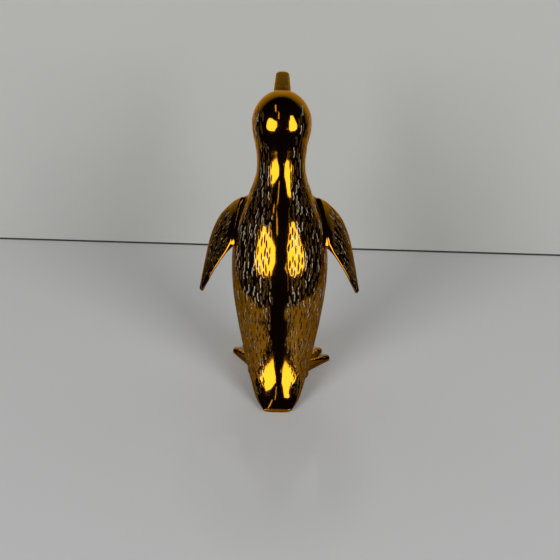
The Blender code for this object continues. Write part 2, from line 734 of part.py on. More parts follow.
def make_body():
    """The two halves of the shell, with the seam between them, its groove and every hole."""
    cavity = cavity_solid()
    floor = box("floor_block", (-CUTTER_REACH, -CUTTER_REACH, -FLOOR_TRIM),
                (CUTTER_REACH, CUTTER_REACH, 0.0), CUTTERS)
    margin = GAP * HEAD / SECTIONS[-1, 1]
    grooves = (seam_groove("spine_groove", spine_path(SEAM_START - margin)),
               seam_groove("belly_groove", belly_path(SEAM_START - margin)))
    for side, sign in SIDES.items():
        half = body_solid("body_%s_half" % side, 0.0, PARTS)
        near, far = sign * GAP / 2, -sign * CUTTER_REACH
        other = box("other_side_of_" + side, (min(near, far), -CUTTER_REACH, -CUTTER_REACH),
                    (max(near, far), CUTTER_REACH, CUTTER_REACH), CUTTERS)
        combine(half, eye(side), "UNION")
        for cutter in (cavity, other, floor) + grooves:
            combine(half, cutter, "DIFFERENCE")
        for piece in ("wing_" + side, "foot_" + side, "beak"):
            combine(half, SOCKETS[piece], "DIFFERENCE")
    combine(bpy.data.objects["body_left_half"], vent_hole(), "DIFFERENCE")
    seam_bead("seam_braze_back", spine_path(SEAM_START))
    seam_bead("seam_braze_front", belly_path(SEAM_START))


# Finish

def metal(name, color):
    """Polished metal for one piece."""
    material = bpy.data.materials.new(name)
    material.use_nodes = True
    shader = material.node_tree.nodes["Principled BSDF"]
    shader.inputs["Base Color"].default_value = color
    shader.inputs["Metallic"].default_value = 1.0
    shader.inputs["Roughness"].default_value = ROUGHNESS
    return material


def finish():
    """Give each piece its material and smooth shading, hide the cutters and centre the bird."""
    tip = whole_beak(0.0)[..., 1].max()
    tail = tail_rings(body_rings(0.0, 0.0, BODY_SIDES, RINGS_PER_SECTION), 0.0)[..., 1].min()
    pieces, cutters = list(PARTS.objects), list(CUTTERS.objects)
    stand = bpy.data.objects.new("stand", None)
    stand.location = (0.0, -(tip + tail) / 2 * MM, 0.0)
    PARTS.objects.link(stand)
    for thing in pieces + cutters:
        thing.parent = stand
        thing.data.shade_smooth()
        thing.data.set_sharp_from_angle(angle=math.radians(SHARP_ANGLE))
    for thing in pieces:
        thing.data.materials.append(metal(thing.name, BRAZE if "braze" in thing.name else BRASS))
    for thing in cutters:
        thing.hide_render = True
        thing.display_type = "WIRE"


make_body()
for each in SIDES:
    make_wing(each)
    make_foot(each)
make_beak()
finish()
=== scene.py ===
import math

import bmesh
import bpy
import numpy as np
from mathutils import Matrix


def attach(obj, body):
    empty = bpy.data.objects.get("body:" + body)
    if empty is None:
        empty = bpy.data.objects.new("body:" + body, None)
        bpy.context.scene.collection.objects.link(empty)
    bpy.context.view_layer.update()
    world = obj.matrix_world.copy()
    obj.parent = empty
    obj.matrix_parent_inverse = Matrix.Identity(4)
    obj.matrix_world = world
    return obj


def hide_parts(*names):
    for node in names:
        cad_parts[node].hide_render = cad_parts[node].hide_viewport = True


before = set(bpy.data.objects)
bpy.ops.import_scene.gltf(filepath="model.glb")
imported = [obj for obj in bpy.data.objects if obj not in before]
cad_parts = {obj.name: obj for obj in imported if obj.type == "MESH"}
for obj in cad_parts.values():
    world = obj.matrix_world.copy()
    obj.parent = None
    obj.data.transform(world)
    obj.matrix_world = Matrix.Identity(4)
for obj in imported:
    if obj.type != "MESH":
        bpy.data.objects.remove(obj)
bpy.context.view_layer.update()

# Body halves
# The body is a hollow brass casting in two halves, brazed together down the middle and polished
# bright. Short strokes are punched into the back, the flanks and the sides of the head, but not
# along the spine, on the crown or on the belly. The eyes are cast in one with the head.

MM = 0.001
SIDES = ("left", "right")
BODY_SECTIONS = (   # steps forward and up from the section before, lean, half width, back, front
    (0.8, 2.2, 80, 9.6, 1.9, 2.6),
    (8.6, 1.5, 64, 14.3, 6.0, 3.1),
    (12.3, 6.8, 49, 18.8, 11.5, 6.4),
    (12.2, 16.9, 33, 24.0, 16.5, 15.6),
    (7.6, 20.6, 24, 28.3, 19.6, 27.0),
    (7.5, 21.0, 20, 31.4, 24.6, 32.0),
    (6.5, 21.0, 19, 31.8, 26.4, 33.0),
    (7.0, 20.0, 19, 28.4, 24.2, 29.0),
    (6.0, 17.5, 17, 20.9, 18.6, 21.8),
    (4.3, 14.5, 14, 16.0, 16.0, 16.8),
    (3.2, 13.5, 12, 16.4, 17.3, 17.4),
    (3.2, 15.0, 12, 19.0, 20.3, 19.5),
)
SECTIONS = np.array(BODY_SECTIONS)
SECTIONS[:, :2] = np.cumsum(SECTIONS[:, :2], axis=0)
HEAD = len(SECTIONS) - 1.0      # number of the section through the middle of the head
FLATNESS = (0.0, -0.2, -0.5, -0.5, 0.0, 0.0, 0.0, 0.0, 0.0, 0.0, 0.35, 0.7)    # of the back, in mm
CROWN_HEIGHT = 20.5
TAIL_RIM, RIM_POINTS, RIM_BEND = 0.79, 40, 15           # radius, points, degrees from ring to ring
WALL = 2.8
SHIFT = -54.546                 # from places measured forward of the tail's end to the frame
CAVITY_START = 2.4              # section where the tail is thick enough to be hollow
SEAM_HALF = 1.3                 # half width of the seam at the surface
SEAM_FLOOR = 0.54               # width at the groove's bottom, of that at the surface
SEAM_DEPTH = 1.5
SEAM_START = 1.5                # section where the seam's braze begins
HAIRLINE = 0.02                 # half of the joint where the halves meet without braze
RING_STEP, RING_SAMPLES = 0.75, 4000
FINE_COLUMNS, PLAIN_COLUMNS = 270, 36
CAVITY_COLUMNS = 24
ENGRAVED_SHARE = 0.7            # of the way from spine to belly, which has the fine columns

ROW_PITCH = 7.9                 # punched strokes: from one row to the next along the body
COLUMN_PITCH = 2.0
STROKE_LENGTH = 6.6
STROKE_WIDTH = 1.0
STROKE_DEPTH = 0.30
LENGTHS, WIDTHS, DEPTHS = (0.62, 0.46), (0.7, 0.5), (0.6, 0.4)  # least share of each, range above it
STRAY_ASIDE, STRAY_ALONG, STRAY_SLANT = 0.34, 0.5, 0.2  # how far chance moves and tilts a stroke
MISSED = 0.06                   # share of the strokes that are left out
GLINT_PLACE, GLINT_WIDTH = 1.05, 0.13                 # painted glint: a pale line along one side of each stroke
GLINT_GAIN, GLINT_LOSS = 2.4, 1.2                     # about half of the strokes get some painted glint
SHARP = math.radians(50)        # least turn of an edge that isn't smoothed over
STROKES_END = 0.69              # of the way from spine to belly
STROKES_FROM, STROKES_TO = 1.25, HEAD + 0.3
PLAIN_SPINE = ((2.2, 3.2, 8.0, 9.5, 11.0), (8.6, 4.6, 4.6, 5.5, 10.5))  # by section, half width
GLINT_BY_SECTION = ((4.0, 5.2), (0.35, 1.0))                 # by section, how strong the painted glint is

EYE_SECTION, EYE_TURN, EYE_RADIUS, EYE_SINK = HEAD + 0.3, math.radians(118), 2.3, 1.3
EYE_RING, EYE_RING_DEPTH, EYE_RING_WIDTH = 2.2, 0.22, 0.3       # fine groove round the eye
VENT_SECTION, VENT_TURN, VENT_RADIUS, VENT_EDGE = 4.0, math.radians(168), 1.5, 0.3


def through(values, t, level_end=False):
    """Cubic through evenly spaced values, whose slope at each is half the step between its
    neighbours, or nought at a level end, read at t."""
    knots = np.asarray(values, float)
    t = np.clip(np.asarray(t, float), 0.0, len(knots) - 1.0)
    low = np.minimum(t.astype(int), len(knots) - 2)
    part = t - low
    slopes = np.gradient(knots)
    slopes[-1] = 0.0 if level_end else slopes[-1]
    a, b, da, db = knots[low], knots[low + 1], slopes[low], slopes[low + 1]
    return (((2 * a - 2 * b + da + db) * part + 3 * b - 3 * a - 2 * da - db) * part + da) * part + a


def body_frame(t):
    """Middle, lean and half sizes of section t. Past HEAD the section shrinks by the cosine and
    rises by the sine of climb, a quarter turn up to the crown."""
    trunk = np.minimum(t, HEAD)
    forward, height, lean = (through(c, trunk) for c in SECTIONS.T[:3])
    width, back, front = (through(c, trunk, True) for c in SECTIONS.T[3:])
    lean = np.radians(lean)
    climb = np.clip(t - HEAD, 0.0, 1.0) * math.pi / 2
    forward = forward + CROWN_HEIGHT * np.sin(climb) * np.sin(lean)
    height = height + CROWN_HEIGHT * np.sin(climb) * np.cos(lean)
    return forward, height, lean, width, back, front, climb


def swell(t, share, climb):
    """How much the back stands out past an ellipse, at a share of the half width from the middle:
    a wave that is lowest on the spine, highest at the sine of 45 degrees and nought at the side,
    times the section's flatness, and on the crown times the fourth power of the climb's cosine."""
    wave = np.cos(4 * np.arcsin(np.clip(np.abs(share), 0.0, 1.0)))
    wave = np.where(np.abs(share) < math.sqrt(0.5), -wave, (1 - wave) / 2)
    return through(FLATNESS, np.minimum(t, HEAD), True) * wave * np.cos(climb) ** 4


def body_point(t, turn, grow=0.0):
    """Ellipse point of section t: sideways by the sine of turn, and by its cosine towards the back
    or the front, with half sizes grown by grow, in a plane that leans forward. The back has its
    swell added."""
    forward, height, lean, width, back, front, climb = body_frame(t)
    hind = np.cos(turn) > 0
    depth = np.where(hind, back, front) + grow
    depth = depth + hind * swell(t, np.cos(climb) * np.sin(turn), climb)
    out = (width + grow) * np.cos(climb) * np.sin(turn)
    behind = depth * np.cos(climb) * np.cos(turn)
    lift = grow * np.sin(climb)
    y = forward - behind * np.cos(lean) + lift * np.sin(lean)
    z = height + behind * np.sin(lean) + lift * np.cos(lean)
    return np.stack(np.broadcast_arrays(out, y, z), axis=-1)


def edge_turn(t, out, grow=0.0):
    """Turn from the spine at which section t is out to the side by the given distance."""
    _, _, _, width, _, _, climb = body_frame(t)
    return np.arcsin(np.clip(out / ((width + grow) * np.cos(climb)), 0.0, 1.0))


def seam_half(t):
    """Half width of the seam, which opens to its full width within a tenth of a section."""
    share = np.clip((t - SEAM_START) * 10, 0.0, 1.0)
    return HAIRLINE + (SEAM_HALF - HAIRLINE) * share * share * (3 - 2 * share)


def ring_sections():
    """Section numbers at even steps along the body, and the lengths up to there, measured on the
    average of spine and side. The last is where the crown's ring is as narrow as the seam."""
    top = HEAD + math.degrees(math.acos(SEAM_HALF / SECTIONS[-1, 3])) / 90
    t = np.linspace(0.0, top, RING_SAMPLES)
    lines = body_point(t[:, None], np.array((0.0, math.pi / 2)))
    length = np.cumsum(np.linalg.norm(np.diff(lines, axis=0), axis=2).mean(axis=1))
    even = np.linspace(0.0, length[-1], int(length[-1] / RING_STEP))
    return np.interp(even, np.append(0.0, length), t), even


def chance(row, column, salt):
    """A fixed, evenly spread number from 0 to 1 for each stroke: the broken part of a large sine."""
    return np.mod(np.sin(row * 12.9898 + column * 78.233 + salt * 37.719) * 43758.5453, 1.0)


def stroke_set(along, across, total, limits, half_row, hand):
    """Depth share, 0 to 1, and share of painted glint of one of the two sets of strokes, which stand
    brick-wise. Its rows lie across the body and each has a whole number of strokes. A stroke
    falls off as the square of one minus its squared distance over an ellipse, and the painted glint,
    a pale line that stands for light caught on the stroke's edge, is a bell curve round that, on the
    outer side. Strokes whose middle lies outside the limits, first and last across and then along,
    are left out. Hand is 1 on the left side, where the strokes fall differently from those on the right."""
    row = np.floor(along / ROW_PITCH + half_row)
    count = np.maximum(np.round(total / (2 * COLUMN_PITCH)), 1)
    column = np.floor(across / total * count + half_row)
    salt = 2 * half_row + 40 * hand
    middle = column + 0.5 - half_row + STRAY_ASIDE * (chance(row, column, 1 + salt) - 0.5)
    middle = middle * total / count
    centre = row + 0.5 - half_row + STRAY_ALONG * (chance(row, column, 3 + salt) - 0.5)
    centre = centre * ROW_PITCH
    length = STROKE_LENGTH / 2 * (LENGTHS[0] + LENGTHS[1] * chance(row, column, 5 + salt))
    width = STROKE_WIDTH / 2 * (WIDTHS[0] + WIDTHS[1] * chance(row, column, 7 + salt))
    run = along - centre
    side = across - middle + run * STRAY_SLANT * (chance(row, column, 9 + salt) - 0.5)
    reach = (run / length) ** 2 + (side / width) ** 2
    inside = np.clip(1 - reach, 0.0, 1.0)
    first, last, begin, end = limits
    kept = (middle > first) & (middle < last) & (centre > begin) & (centre < end)
    kept = kept & (chance(row, column, 11 + salt) > MISSED)
    depth = (DEPTHS[0] + DEPTHS[1] * chance(row, column, 13 + salt)) * kept
    painted_glint = np.exp(-((np.sqrt(reach) - GLINT_PLACE) / GLINT_WIDTH) ** 2) * (side > 0) * kept
    left = np.clip(GLINT_GAIN * chance(row, column, 15 + salt) - GLINT_LOSS, 0.0, 1.0)
    return inside ** 2 * depth, painted_glint * left


def punched(hand, along, across, total, *limits):
    """Depth share of all punched strokes and share of painted glint: the greater of the two sets."""
    sets = [stroke_set(along, across, total, limits, half_row, hand) for half_row in (0.0, 0.5)]
    return [np.maximum(*pair) for pair in zip(*sets)]


def quads(rows, columns, start=0, wrap=False):
    """Indices of the four-sided faces of a grid of points that is stored row by row."""
    i = np.arange(rows - 1)[:, None] * columns + start
    j = np.arange(columns if wrap else columns - 1)[None, :]
    k = (j + 1) % columns
    return np.stack((i + j, i + k, i + columns + k, i + columns + j), axis=-1).reshape(-1, 4)


def add_object(name, data):
    """Object with this mesh, lamp or camera, in the scene."""
    thing = bpy.data.objects.new(name, data)
    bpy.context.scene.collection.objects.link(thing)
    return thing


def piece(name, points, sides, caps=(), mirror=False, fields=None):
    """Object from points in millimetres measured forward from the tail's end, with four-sided faces
    and with caps, rings of indices that close a hole. Edges that turn sharply stay sharp."""
    points = points * (np.array((-1.0, 1.0, 1.0)) if mirror else 1.0) + np.array((0.0, SHIFT, 0.0))
    faces = sides.tolist() + [tuple(c) for c in caps]
    mesh = bpy.data.meshes.new(name)
    mesh.from_pydata((points * MM).tolist(), [], faces)
    for label, values in (fields or {}).items():
        mesh.attributes.new(label, "FLOAT", "POINT").data.foreach_set("value", values.ravel())
    build = bmesh.new()
    build.from_mesh(mesh)
    bmesh.ops.remove_doubles(build, verts=build.verts, dist=1e-7)
    bmesh.ops.recalc_face_normals(build, faces=build.faces)
    build.to_mesh(mesh)
    build.free()
    mesh.shade_smooth()
    mesh.set_sharp_from_angle(angle=SHARP)
    return add_object(name, mesh)


def dress(thing, metal, node):
    """Gives a piece its metal and puts it in the place of the solid of this name."""
    thing.data.materials.append(metal)
    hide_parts(node)
    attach(thing, "root")


class Wire:
    """A socket in a material's tree. Sums, differences and products of wires and numbers add
    Math nodes, and node() adds any other node."""

    def __init__(self, tree, socket=None):
        self.tree, self.socket = tree, socket

    def node(self, kind, settings=None, inputs=None, output=0):
        """A node of this kind: its settings first, then the values or wires of its sockets, which
        go by identifier, name or number."""
        made = self.tree.nodes.new(kind)
        for label, value in (settings or {}).items():
            setattr(made, label, value)
        for label, value in (inputs or {}).items():
            found = [s for s in made.inputs if label in (s.identifier, s.name)] or [made.inputs[label]]
            if isinstance(value, Wire):
                self.tree.links.new(value.socket, found[0])
            else:
                found[0].default_value = value
        return Wire(self.tree, made.outputs[output])

    def math_node(self, operation, first, second):
        """A Math node on two wires or numbers."""
        return self.node("ShaderNodeMath", {"operation": operation}, {"Value": first, "Value_001": second})

    def blend(self, share, first, second):
        """Colour between two others, which is the second one where the share is 1."""
        return self.node("ShaderNodeMix", {"data_type": "RGBA"},
                         {"Factor_Float": share, "A_Color": first, "B_Color": second}, 2)

    def into(self, node, label):
        """Connects this wire to a socket of a node that is there already."""
        self.tree.links.new(self.socket, node.inputs[label])

    def __add__(self, other):
        return self.math_node("ADD", self, other)

    def __sub__(self, other):
        return self.math_node("SUBTRACT", self, other)

    def __rsub__(self, other):
        return self.math_node("SUBTRACT", other, self)

    def __mul__(self, other):
        return self.math_node("MULTIPLY", self, other)

    __radd__ = __add__
    __rmul__ = __mul__


def new_material(name):
    """Material, the wire that its tree starts from, and its shader."""
    material = bpy.data.materials.new(name)
    material.use_nodes = True
    return material, Wire(material.node_tree), material.node_tree.nodes["Principled BSDF"]


BRASS = (0.66, 0.290, 0.013, 1.0)
WARM_BRASS = (0.58, 0.235, 0.010, 1.0)
BRASS_EDGE = (0.90, 0.66, 0.45, 1.0)    # tint where the surface is seen at a low angle
GRIME = (0.008, 0.006, 0.004, 1.0)      # tarnish at the bottom of the strokes
PAINTED_GLINT_COLOR = (0.66, 0.62, 0.50, 1.0)        # painted glint: pale colour of the line beside the strokes
GLINT_COVER, MOST_COVER = 0.75, 0.97   # how much of the metal the painted glint and the tarnish hide
GRIME_GAIN, PALE_GAIN = 25.0, 4.0       # how soon either reaches its full colour
# roughness and specular level of the tarnish and of the painted glint
GRIME_AND_GLINT_ROUGHNESS, GRIME_AND_GLINT_SHEEN = 0.45, 0.05
CLOUDS, RUBBED, WAVES = (45.0, 2.0), (900.0, 3.0), (130.0, 1.5)    # patterns: turns a metre, detail
GLOSS, GLOSS_RANGE = 0.075, 0.05        # roughness, and how far the rubbed pattern changes it
GLOSS_LEVEL = 0.4                       # of that pattern, where the roughness is just as asked
UNEVENNESS = 0.020                      # height of the waves, in mm


def polished_metal(name, color, warm, strokes, gloss, unevenness):
    """Polished cast metal: two shades in soft clouds, a surface that is slightly uneven from the
    file and the buffing wheel, tarnish in punched strokes and a painted glint, a pale line, beside them."""
    material, new, shader = new_material(name)
    place = new.node("ShaderNodeTexCoord", output=3)
    clouds, rubbed, waves = (
        new.node("ShaderNodeTexNoise", None, {"Vector": place, "Scale": scale, "Detail": detail})
        for scale, detail in (CLOUDS, RUBBED, WAVES))
    shade = new.blend(clouds, color, warm)
    rough = rubbed * GLOSS_RANGE + (gloss - GLOSS_LEVEL * GLOSS_RANGE)
    if strokes:
        depth = new.node("ShaderNodeAttribute", {"attribute_name": "stroke"}, output=2)
        # painted glint: pale, rougher, less metallic colour along one side of each stroke
        painted_glint = new.node("ShaderNodeAttribute", {"attribute_name": "painted_glint"}, output=2)
        painted_glint = painted_glint * GLINT_COVER
        grime = new.math_node("MINIMUM", depth * GRIME_GAIN, MOST_COVER - painted_glint)
        shade = new.blend(grime, shade, GRIME)
        shade = new.blend(new.math_node("MINIMUM", painted_glint * PALE_GAIN, 1.0), shade, PAINTED_GLINT_COLOR)
        rough = rough + (grime + painted_glint) * GRIME_AND_GLINT_ROUGHNESS
        (1 - grime - painted_glint).into(shader, "Metallic")
    bump = new.node("ShaderNodeBump", None, {"Distance": unevenness * MM, "Height": waves})
    for label, wire in (("Base Color", shade), ("Roughness", rough), ("Normal", bump)):
        wire.into(shader, label)
    shader.inputs["Metallic"].default_value = 1.0
    shader.inputs["Specular IOR Level"].default_value = GRIME_AND_GLINT_SHEEN
    shader.inputs["Specular Tint"].default_value = BRASS_EDGE
    return material


def body_half(side):
    """One half of the shell: outer skin with its strokes, groove for the braze, flat joint faces
    and, where the tail has become thick enough, the hollow inside."""
    sections, length = ring_sections()
    t = sections[:, None]
    share = np.concatenate((np.linspace(0.0, ENGRAVED_SHARE, FINE_COLUMNS),
                            np.linspace(ENGRAVED_SHARE, 1.0, PLAIN_COLUMNS + 1)[1:]))
    half = seam_half(t)
    edge = edge_turn(t, half)
    turn = edge + share * (math.pi - 2 * edge)
    plain = body_point(t, turn)
    across = np.cumsum(np.linalg.norm(np.diff(plain, axis=1), axis=2), axis=1)
    across = np.concatenate((np.zeros((len(t), 1)), across), axis=1) + half
    total = across[:, -1:] + half
    along = length[:, None] + np.zeros_like(across)
    begin, end = np.interp((STROKES_FROM, STROKES_TO), sections, length)
    limits = np.interp(t, *PLAIN_SPINE), total * STROKES_END, begin, end
    # depth of the strokes, and the painted glint beside them
    stroke, painted_glint = punched(side == "left", along, across, total, *limits)
    from_eye = np.linalg.norm(plain - body_point(EYE_SECTION, EYE_TURN), axis=2)
    clear = from_eye > EYE_RADIUS + STROKE_LENGTH / 2
    stroke, painted_glint = stroke * clear, painted_glint * clear * np.interp(t, *GLINT_BY_SECTION)
    lift = np.sqrt(np.maximum(EYE_RADIUS ** 2 - from_eye ** 2, 0.0)) - EYE_SINK
    groove = np.exp(-((from_eye - EYE_RING) / EYE_RING_WIDTH) ** 2)
    lift = np.maximum(lift, 0.0) - EYE_RING_DEPTH * groove
    if side == "left":
        from_vent = np.linalg.norm(plain - body_point(VENT_SECTION, VENT_TURN), axis=2)
        lift = lift - WALL * np.clip((VENT_RADIUS + VENT_EDGE / 2 - from_vent) / VENT_EDGE, 0.0, 1.0)
    outer = body_point(t, turn, lift - STROKE_DEPTH * stroke)

    def joint(x, depth, belly):
        """Joint edge along the back or the belly, x from the middle and depth under the skin."""
        angle = edge_turn(t, x, -depth)
        return body_point(t, math.pi - angle if belly else angle, -depth)

    deep = SEAM_DEPTH * (half - HAIRLINE) / (SEAM_HALF - HAIRLINE)
    floor_edge = np.maximum(half * SEAM_FLOOR, HAIRLINE)
    loops = np.concatenate((joint(HAIRLINE, deep, False), joint(floor_edge, deep, False), outer,
                            joint(floor_edge, deep, True), joint(HAIRLINE, deep, True)), axis=1)
    middle = body_point(0.0, np.arange(RIM_POINTS) * 2 * math.pi / RIM_POINTS).mean(axis=0)
    lean = math.radians(SECTIONS[0, 2])
    axis = np.array((0.0, math.sin(lean), math.cos(lean)))
    reach = np.linalg.norm(loops[0] - middle, axis=1, keepdims=True)
    bend = np.radians(np.arange(90, 0, -RIM_BEND))[:, None, None]
    rim = (loops[0] + (middle - loops[0]) * TAIL_RIM * (1 - np.cos(bend)) / reach
           - axis * TAIL_RIM * np.sin(bend))
    loops = np.concatenate((rim, loops))
    loops[..., 2] = np.maximum(loops[..., 2], 0.0)
    rows, columns = loops.shape[:2]
    hollow = int(np.searchsorted(sections, CAVITY_START)) + len(rim)
    inner_t = t[hollow - len(rim):]
    inner_edge = edge_turn(inner_t, HAIRLINE, -WALL)
    inner_turn = math.pi - inner_edge - np.linspace(0.0, 1.0, CAVITY_COLUMNS) * (math.pi - 2 * inner_edge)
    cavity = body_point(inner_t, inner_turn, -WALL)
    base = rows * columns
    skin = quads(rows, columns)
    ring = np.arange(rows - 1) * columns
    low = ring[:hollow]
    closed = np.stack((low + columns - 1, low, low + columns, low + 2 * columns - 1), axis=1)
    high, step = ring[hollow:], np.arange(len(inner_t) - 1) * CAVITY_COLUMNS + base
    belly = np.stack((high + columns - 1, step, step + CAVITY_COLUMNS, high + 2 * columns - 1), axis=1)
    last = step + CAVITY_COLUMNS - 1
    spine = np.stack((last, high, high + columns, last + CAVITY_COLUMNS), axis=1)
    top = np.arange(base - columns, base)
    inside = base + np.arange(CAVITY_COLUMNS)
    caps = (np.arange(columns)[::-1],
            np.concatenate(((hollow * columns + columns - 1,), inside, (hollow * columns,))),
            np.concatenate((top[:2], top[-3:], inside + (len(inner_t) - 1) * CAVITY_COLUMNS)))
    points = np.concatenate((loops.reshape(-1, 3), cavity.reshape(-1, 3)))
    edges = ((len(rim), 0), (2, 2))
    fields = {label: np.append(np.pad(values, edges), np.zeros(cavity.size // 3))
              for label, values in (("stroke", stroke), ("painted_glint", painted_glint))}
    walls = np.concatenate((skin, closed, quads(len(inner_t), CAVITY_COLUMNS, base), belly, spine))
    thing = piece("body_%s" % side, points, walls, caps, side == "left", fields)
    dress(thing, BODY_METAL, "body_%s_half" % side)


BODY_METAL = polished_metal("punched_brass", BRASS, WARM_BRASS, True, GLOSS, UNEVENNESS)
for side in SIDES:
    body_half(side)

# Seam
# Braze that fills the groove between the halves, ground flush and polished with them: one run up
# the back and over the crown to the beak, the other down the throat and the belly to the tail.

SEAM_COLUMNS = 9
BEAK_SEAT = HEAD + 0.42         # section on the front of the head, under the middle of the beak
BRAZE = (0.65, 0.290, 0.011, 1.0)
WARM_BRAZE = (0.62, 0.260, 0.009, 1.0)


def seam_surface(t, share, front):
    """The body's surface beside the middle plane, at a share of the seam's half width. On the crown
    the ellipsoid is cut by planes beside the middle one, so that it meets the halves' edges."""
    forward, height, lean, width, back, depth, _ = body_frame(np.minimum(t, HEAD))
    climb = body_frame(t)[6]
    out = seam_half(t) * share
    inset = np.sqrt(1 - (out / width) ** 2)
    bend = np.sin(climb) / np.sqrt(1 - (SEAM_HALF / width) ** 2)
    climb = np.where(climb > 0, np.arcsin(np.clip(bend, 0.0, 1.0)), 0.0)
    back = back + swell(t, out / width, np.arcsin(inset * np.sin(climb)))
    behind = (-depth if front else back) * inset * np.cos(climb)
    lift = CROWN_HEIGHT * inset * np.sin(climb)
    y = forward - behind * np.cos(lean) + lift * np.sin(lean)
    z = height + behind * np.sin(lean) + lift * np.cos(lean)
    return np.stack((out + 0 * y, y, z), axis=-1)


def seam_run(name, runs, node):
    """Strip whose top is the body's surface and whose floor is narrower and lies below it, square
    to the line that the strip follows."""
    share = np.linspace(-1.0, 1.0, SEAM_COLUMNS)
    top = np.concatenate([seam_surface(t[:, None], share, front) for t, front in runs])
    half = np.concatenate([seam_half(t) for t, _ in runs])[:, None]
    line = top[:, SEAM_COLUMNS // 2]
    along = np.gradient(line, axis=0)
    out = np.stack((0 * line[:, 0], -along[:, 2], along[:, 1]), axis=1)
    out = out / np.linalg.norm(out, axis=1, keepdims=True)
    floor = line - out * SEAM_DEPTH * (half - HAIRLINE) / (SEAM_HALF - HAIRLINE)
    aside = half * SEAM_FLOOR * np.array((1.0, 0.0, 0.0))
    loops = np.concatenate((top, (floor + aside)[:, None], (floor - aside)[:, None]), axis=1)
    loops[..., 2] = np.maximum(loops[..., 2], 0.0)
    rows, columns = loops.shape[:2]
    thing = piece(name, loops.reshape(-1, 3), quads(rows, columns, wrap=True),
                  (np.arange(columns), np.arange(columns) + (rows - 1) * columns))
    dress(thing, BRAZE_METAL, node)


BRAZE_METAL = polished_metal("polished_braze", BRAZE, WARM_BRAZE, False, GLOSS, UNEVENNESS)
rings = ring_sections()[0]
bead = rings[rings >= SEAM_START]
face = bead[bead > BEAK_SEAT][::-1]
seam_run("seam_back", ((bead, False), (face[1:], True)), "seam_braze_back")
seam_run("seam_front", ((bead[bead <= BEAK_SEAT][::-1], True),), "seam_braze_front")

# Wings
# Each wing is a flat brass casting, slightly bowed, with punched strokes on its outer face and a
# rounded, polished edge. Its root is brazed into the side of the body.

WING_SECTION, WING_TURN = 7.05, math.radians(84)
DROOP, SWEEP, TWIST = math.radians(29), math.radians(15), math.radians(60)
FRONT_EDGE = ((-15.0, 7.0), (-8.0, 13.2), (5.0, 18.6), (20.0, 16.8), (36.0, 9.8), (52.5, 2.0))
REAR_EDGE = ((14.5, -8.0), (20.5, -7.6), (28.0, -6.9), (36.0, -5.8), (44.5, -4.4), (52.5, -2.2))
WING_LENGTH = FRONT_EDGE[-1][0]
WING_THICKNESS = ((0.0, 0.25, 1.0), (6.4, 3.0, 2.15))   # by share of the length
WING_BOW = 2.2
WING_POWER = 3.0
BLADE_HALVES = 12.0, 1.6        # typical half width and thickness
OUTER_FACE = 0.6                # least sine of turn there
TIP_CLOSED = 0.98               # how nearly the tip's rounding closes
WING_ROWS, WING_COLUMNS, TIP_ROWS = 120, 176, 8
WING_STROKES = (9.0, 51.0)      # from the root, in mm
WING_MARGIN = 1.6               # plain edge round the strokes
WING_INSIDE = 3.0               # how far its root reaches into the body
SIDEWAYS = np.array((1.0, 0.0, 0.0))


def directions():
    """The wing's axes: along the blade, across it to the front edge, and out of its face."""
    along = np.array((math.sin(DROOP) * math.cos(SWEEP), -math.sin(SWEEP),
                      -math.cos(DROOP) * math.cos(SWEEP)))
    across = np.array((math.cos(TWIST), math.sin(TWIST), 0.0))
    across = across - along * across.dot(along)
    across = across / np.linalg.norm(across)
    return along, across, np.cross(along, across)


WING_ALONG, WING_ACROSS, WING_OUT = directions()
WING_ROOT = body_point(WING_SECTION, WING_TURN)


def rounded(turn, power):
    """Cosine and sine raised to two over power, with their signs: a circle bent towards a
    rounded rectangle."""
    cos, sin = np.cos(turn), np.sin(turn)
    return (np.sign(cos) * np.abs(cos) ** (2 / power), np.sign(sin) * np.abs(sin) ** (2 / power))


def even_turns(count, wide, high, power):
    """Turns of evenly spaced points round a rounded rectangle of these half sizes."""
    turn = np.linspace(0.0, 2 * math.pi, 8001)
    cos, sin = rounded(turn, power)
    length = np.append(0.0, np.cumsum(np.hypot(np.diff(cos * wide), np.diff(sin * high))))
    return np.interp(np.arange(count) * length[-1] / count, length, turn)


def wing_point(along, turn, grow=0.0, sink=0.0):
    """Point of the right wing: between front and rear edge by the cosine of turn, through the
    blade's thickness by its sine, bowed by half a sine wave. Below nought it moves sideways into
    the body. Grow moves the surface outwards and sink lowers the outer face."""
    t = np.clip(along / WING_LENGTH, 0.0, 1.0)
    front = [through(c, t * (len(FRONT_EDGE) - 1)) for c in zip(*FRONT_EDGE)]
    rear = [through(c, t * (len(REAR_EDGE) - 1)) for c in zip(*REAR_EDGE)]
    cos, sin = rounded(turn, WING_POWER)
    half = [(f - r) / 2 for f, r in zip(front, rear)]
    stretch = cos * (1 + grow / np.hypot(*half))
    down, over = ((f + r) / 2 + h * stretch for f, r, h in zip(front, rear, half))
    thick = (np.interp(t, *WING_THICKNESS) / 2 + grow) * sin
    out = WING_BOW * np.sin(math.pi * t) + thick - sink
    place = (down[..., None] * WING_ALONG + over[..., None] * WING_ACROSS + out[..., None] * WING_OUT)
    return WING_ROOT + place + np.minimum(along, 0.0)[..., None] * SIDEWAYS


def tube(name, loops, mirror=False, fields=None, endless=False):
    """Closed piece over a stack of closed loops, with a flat cap at either end, or endless with
    its last loop joined to its first."""
    rows, columns = loops.shape[:2]
    if endless:
        sides = quads(rows + 1, columns, wrap=True) % (rows * columns)
        caps = ()
    else:
        sides = quads(rows, columns, wrap=True)
        caps = (np.arange(columns), np.arange(columns) + (rows - 1) * columns)
    return piece(name, loops.reshape(-1, 3), sides, caps, mirror, fields)


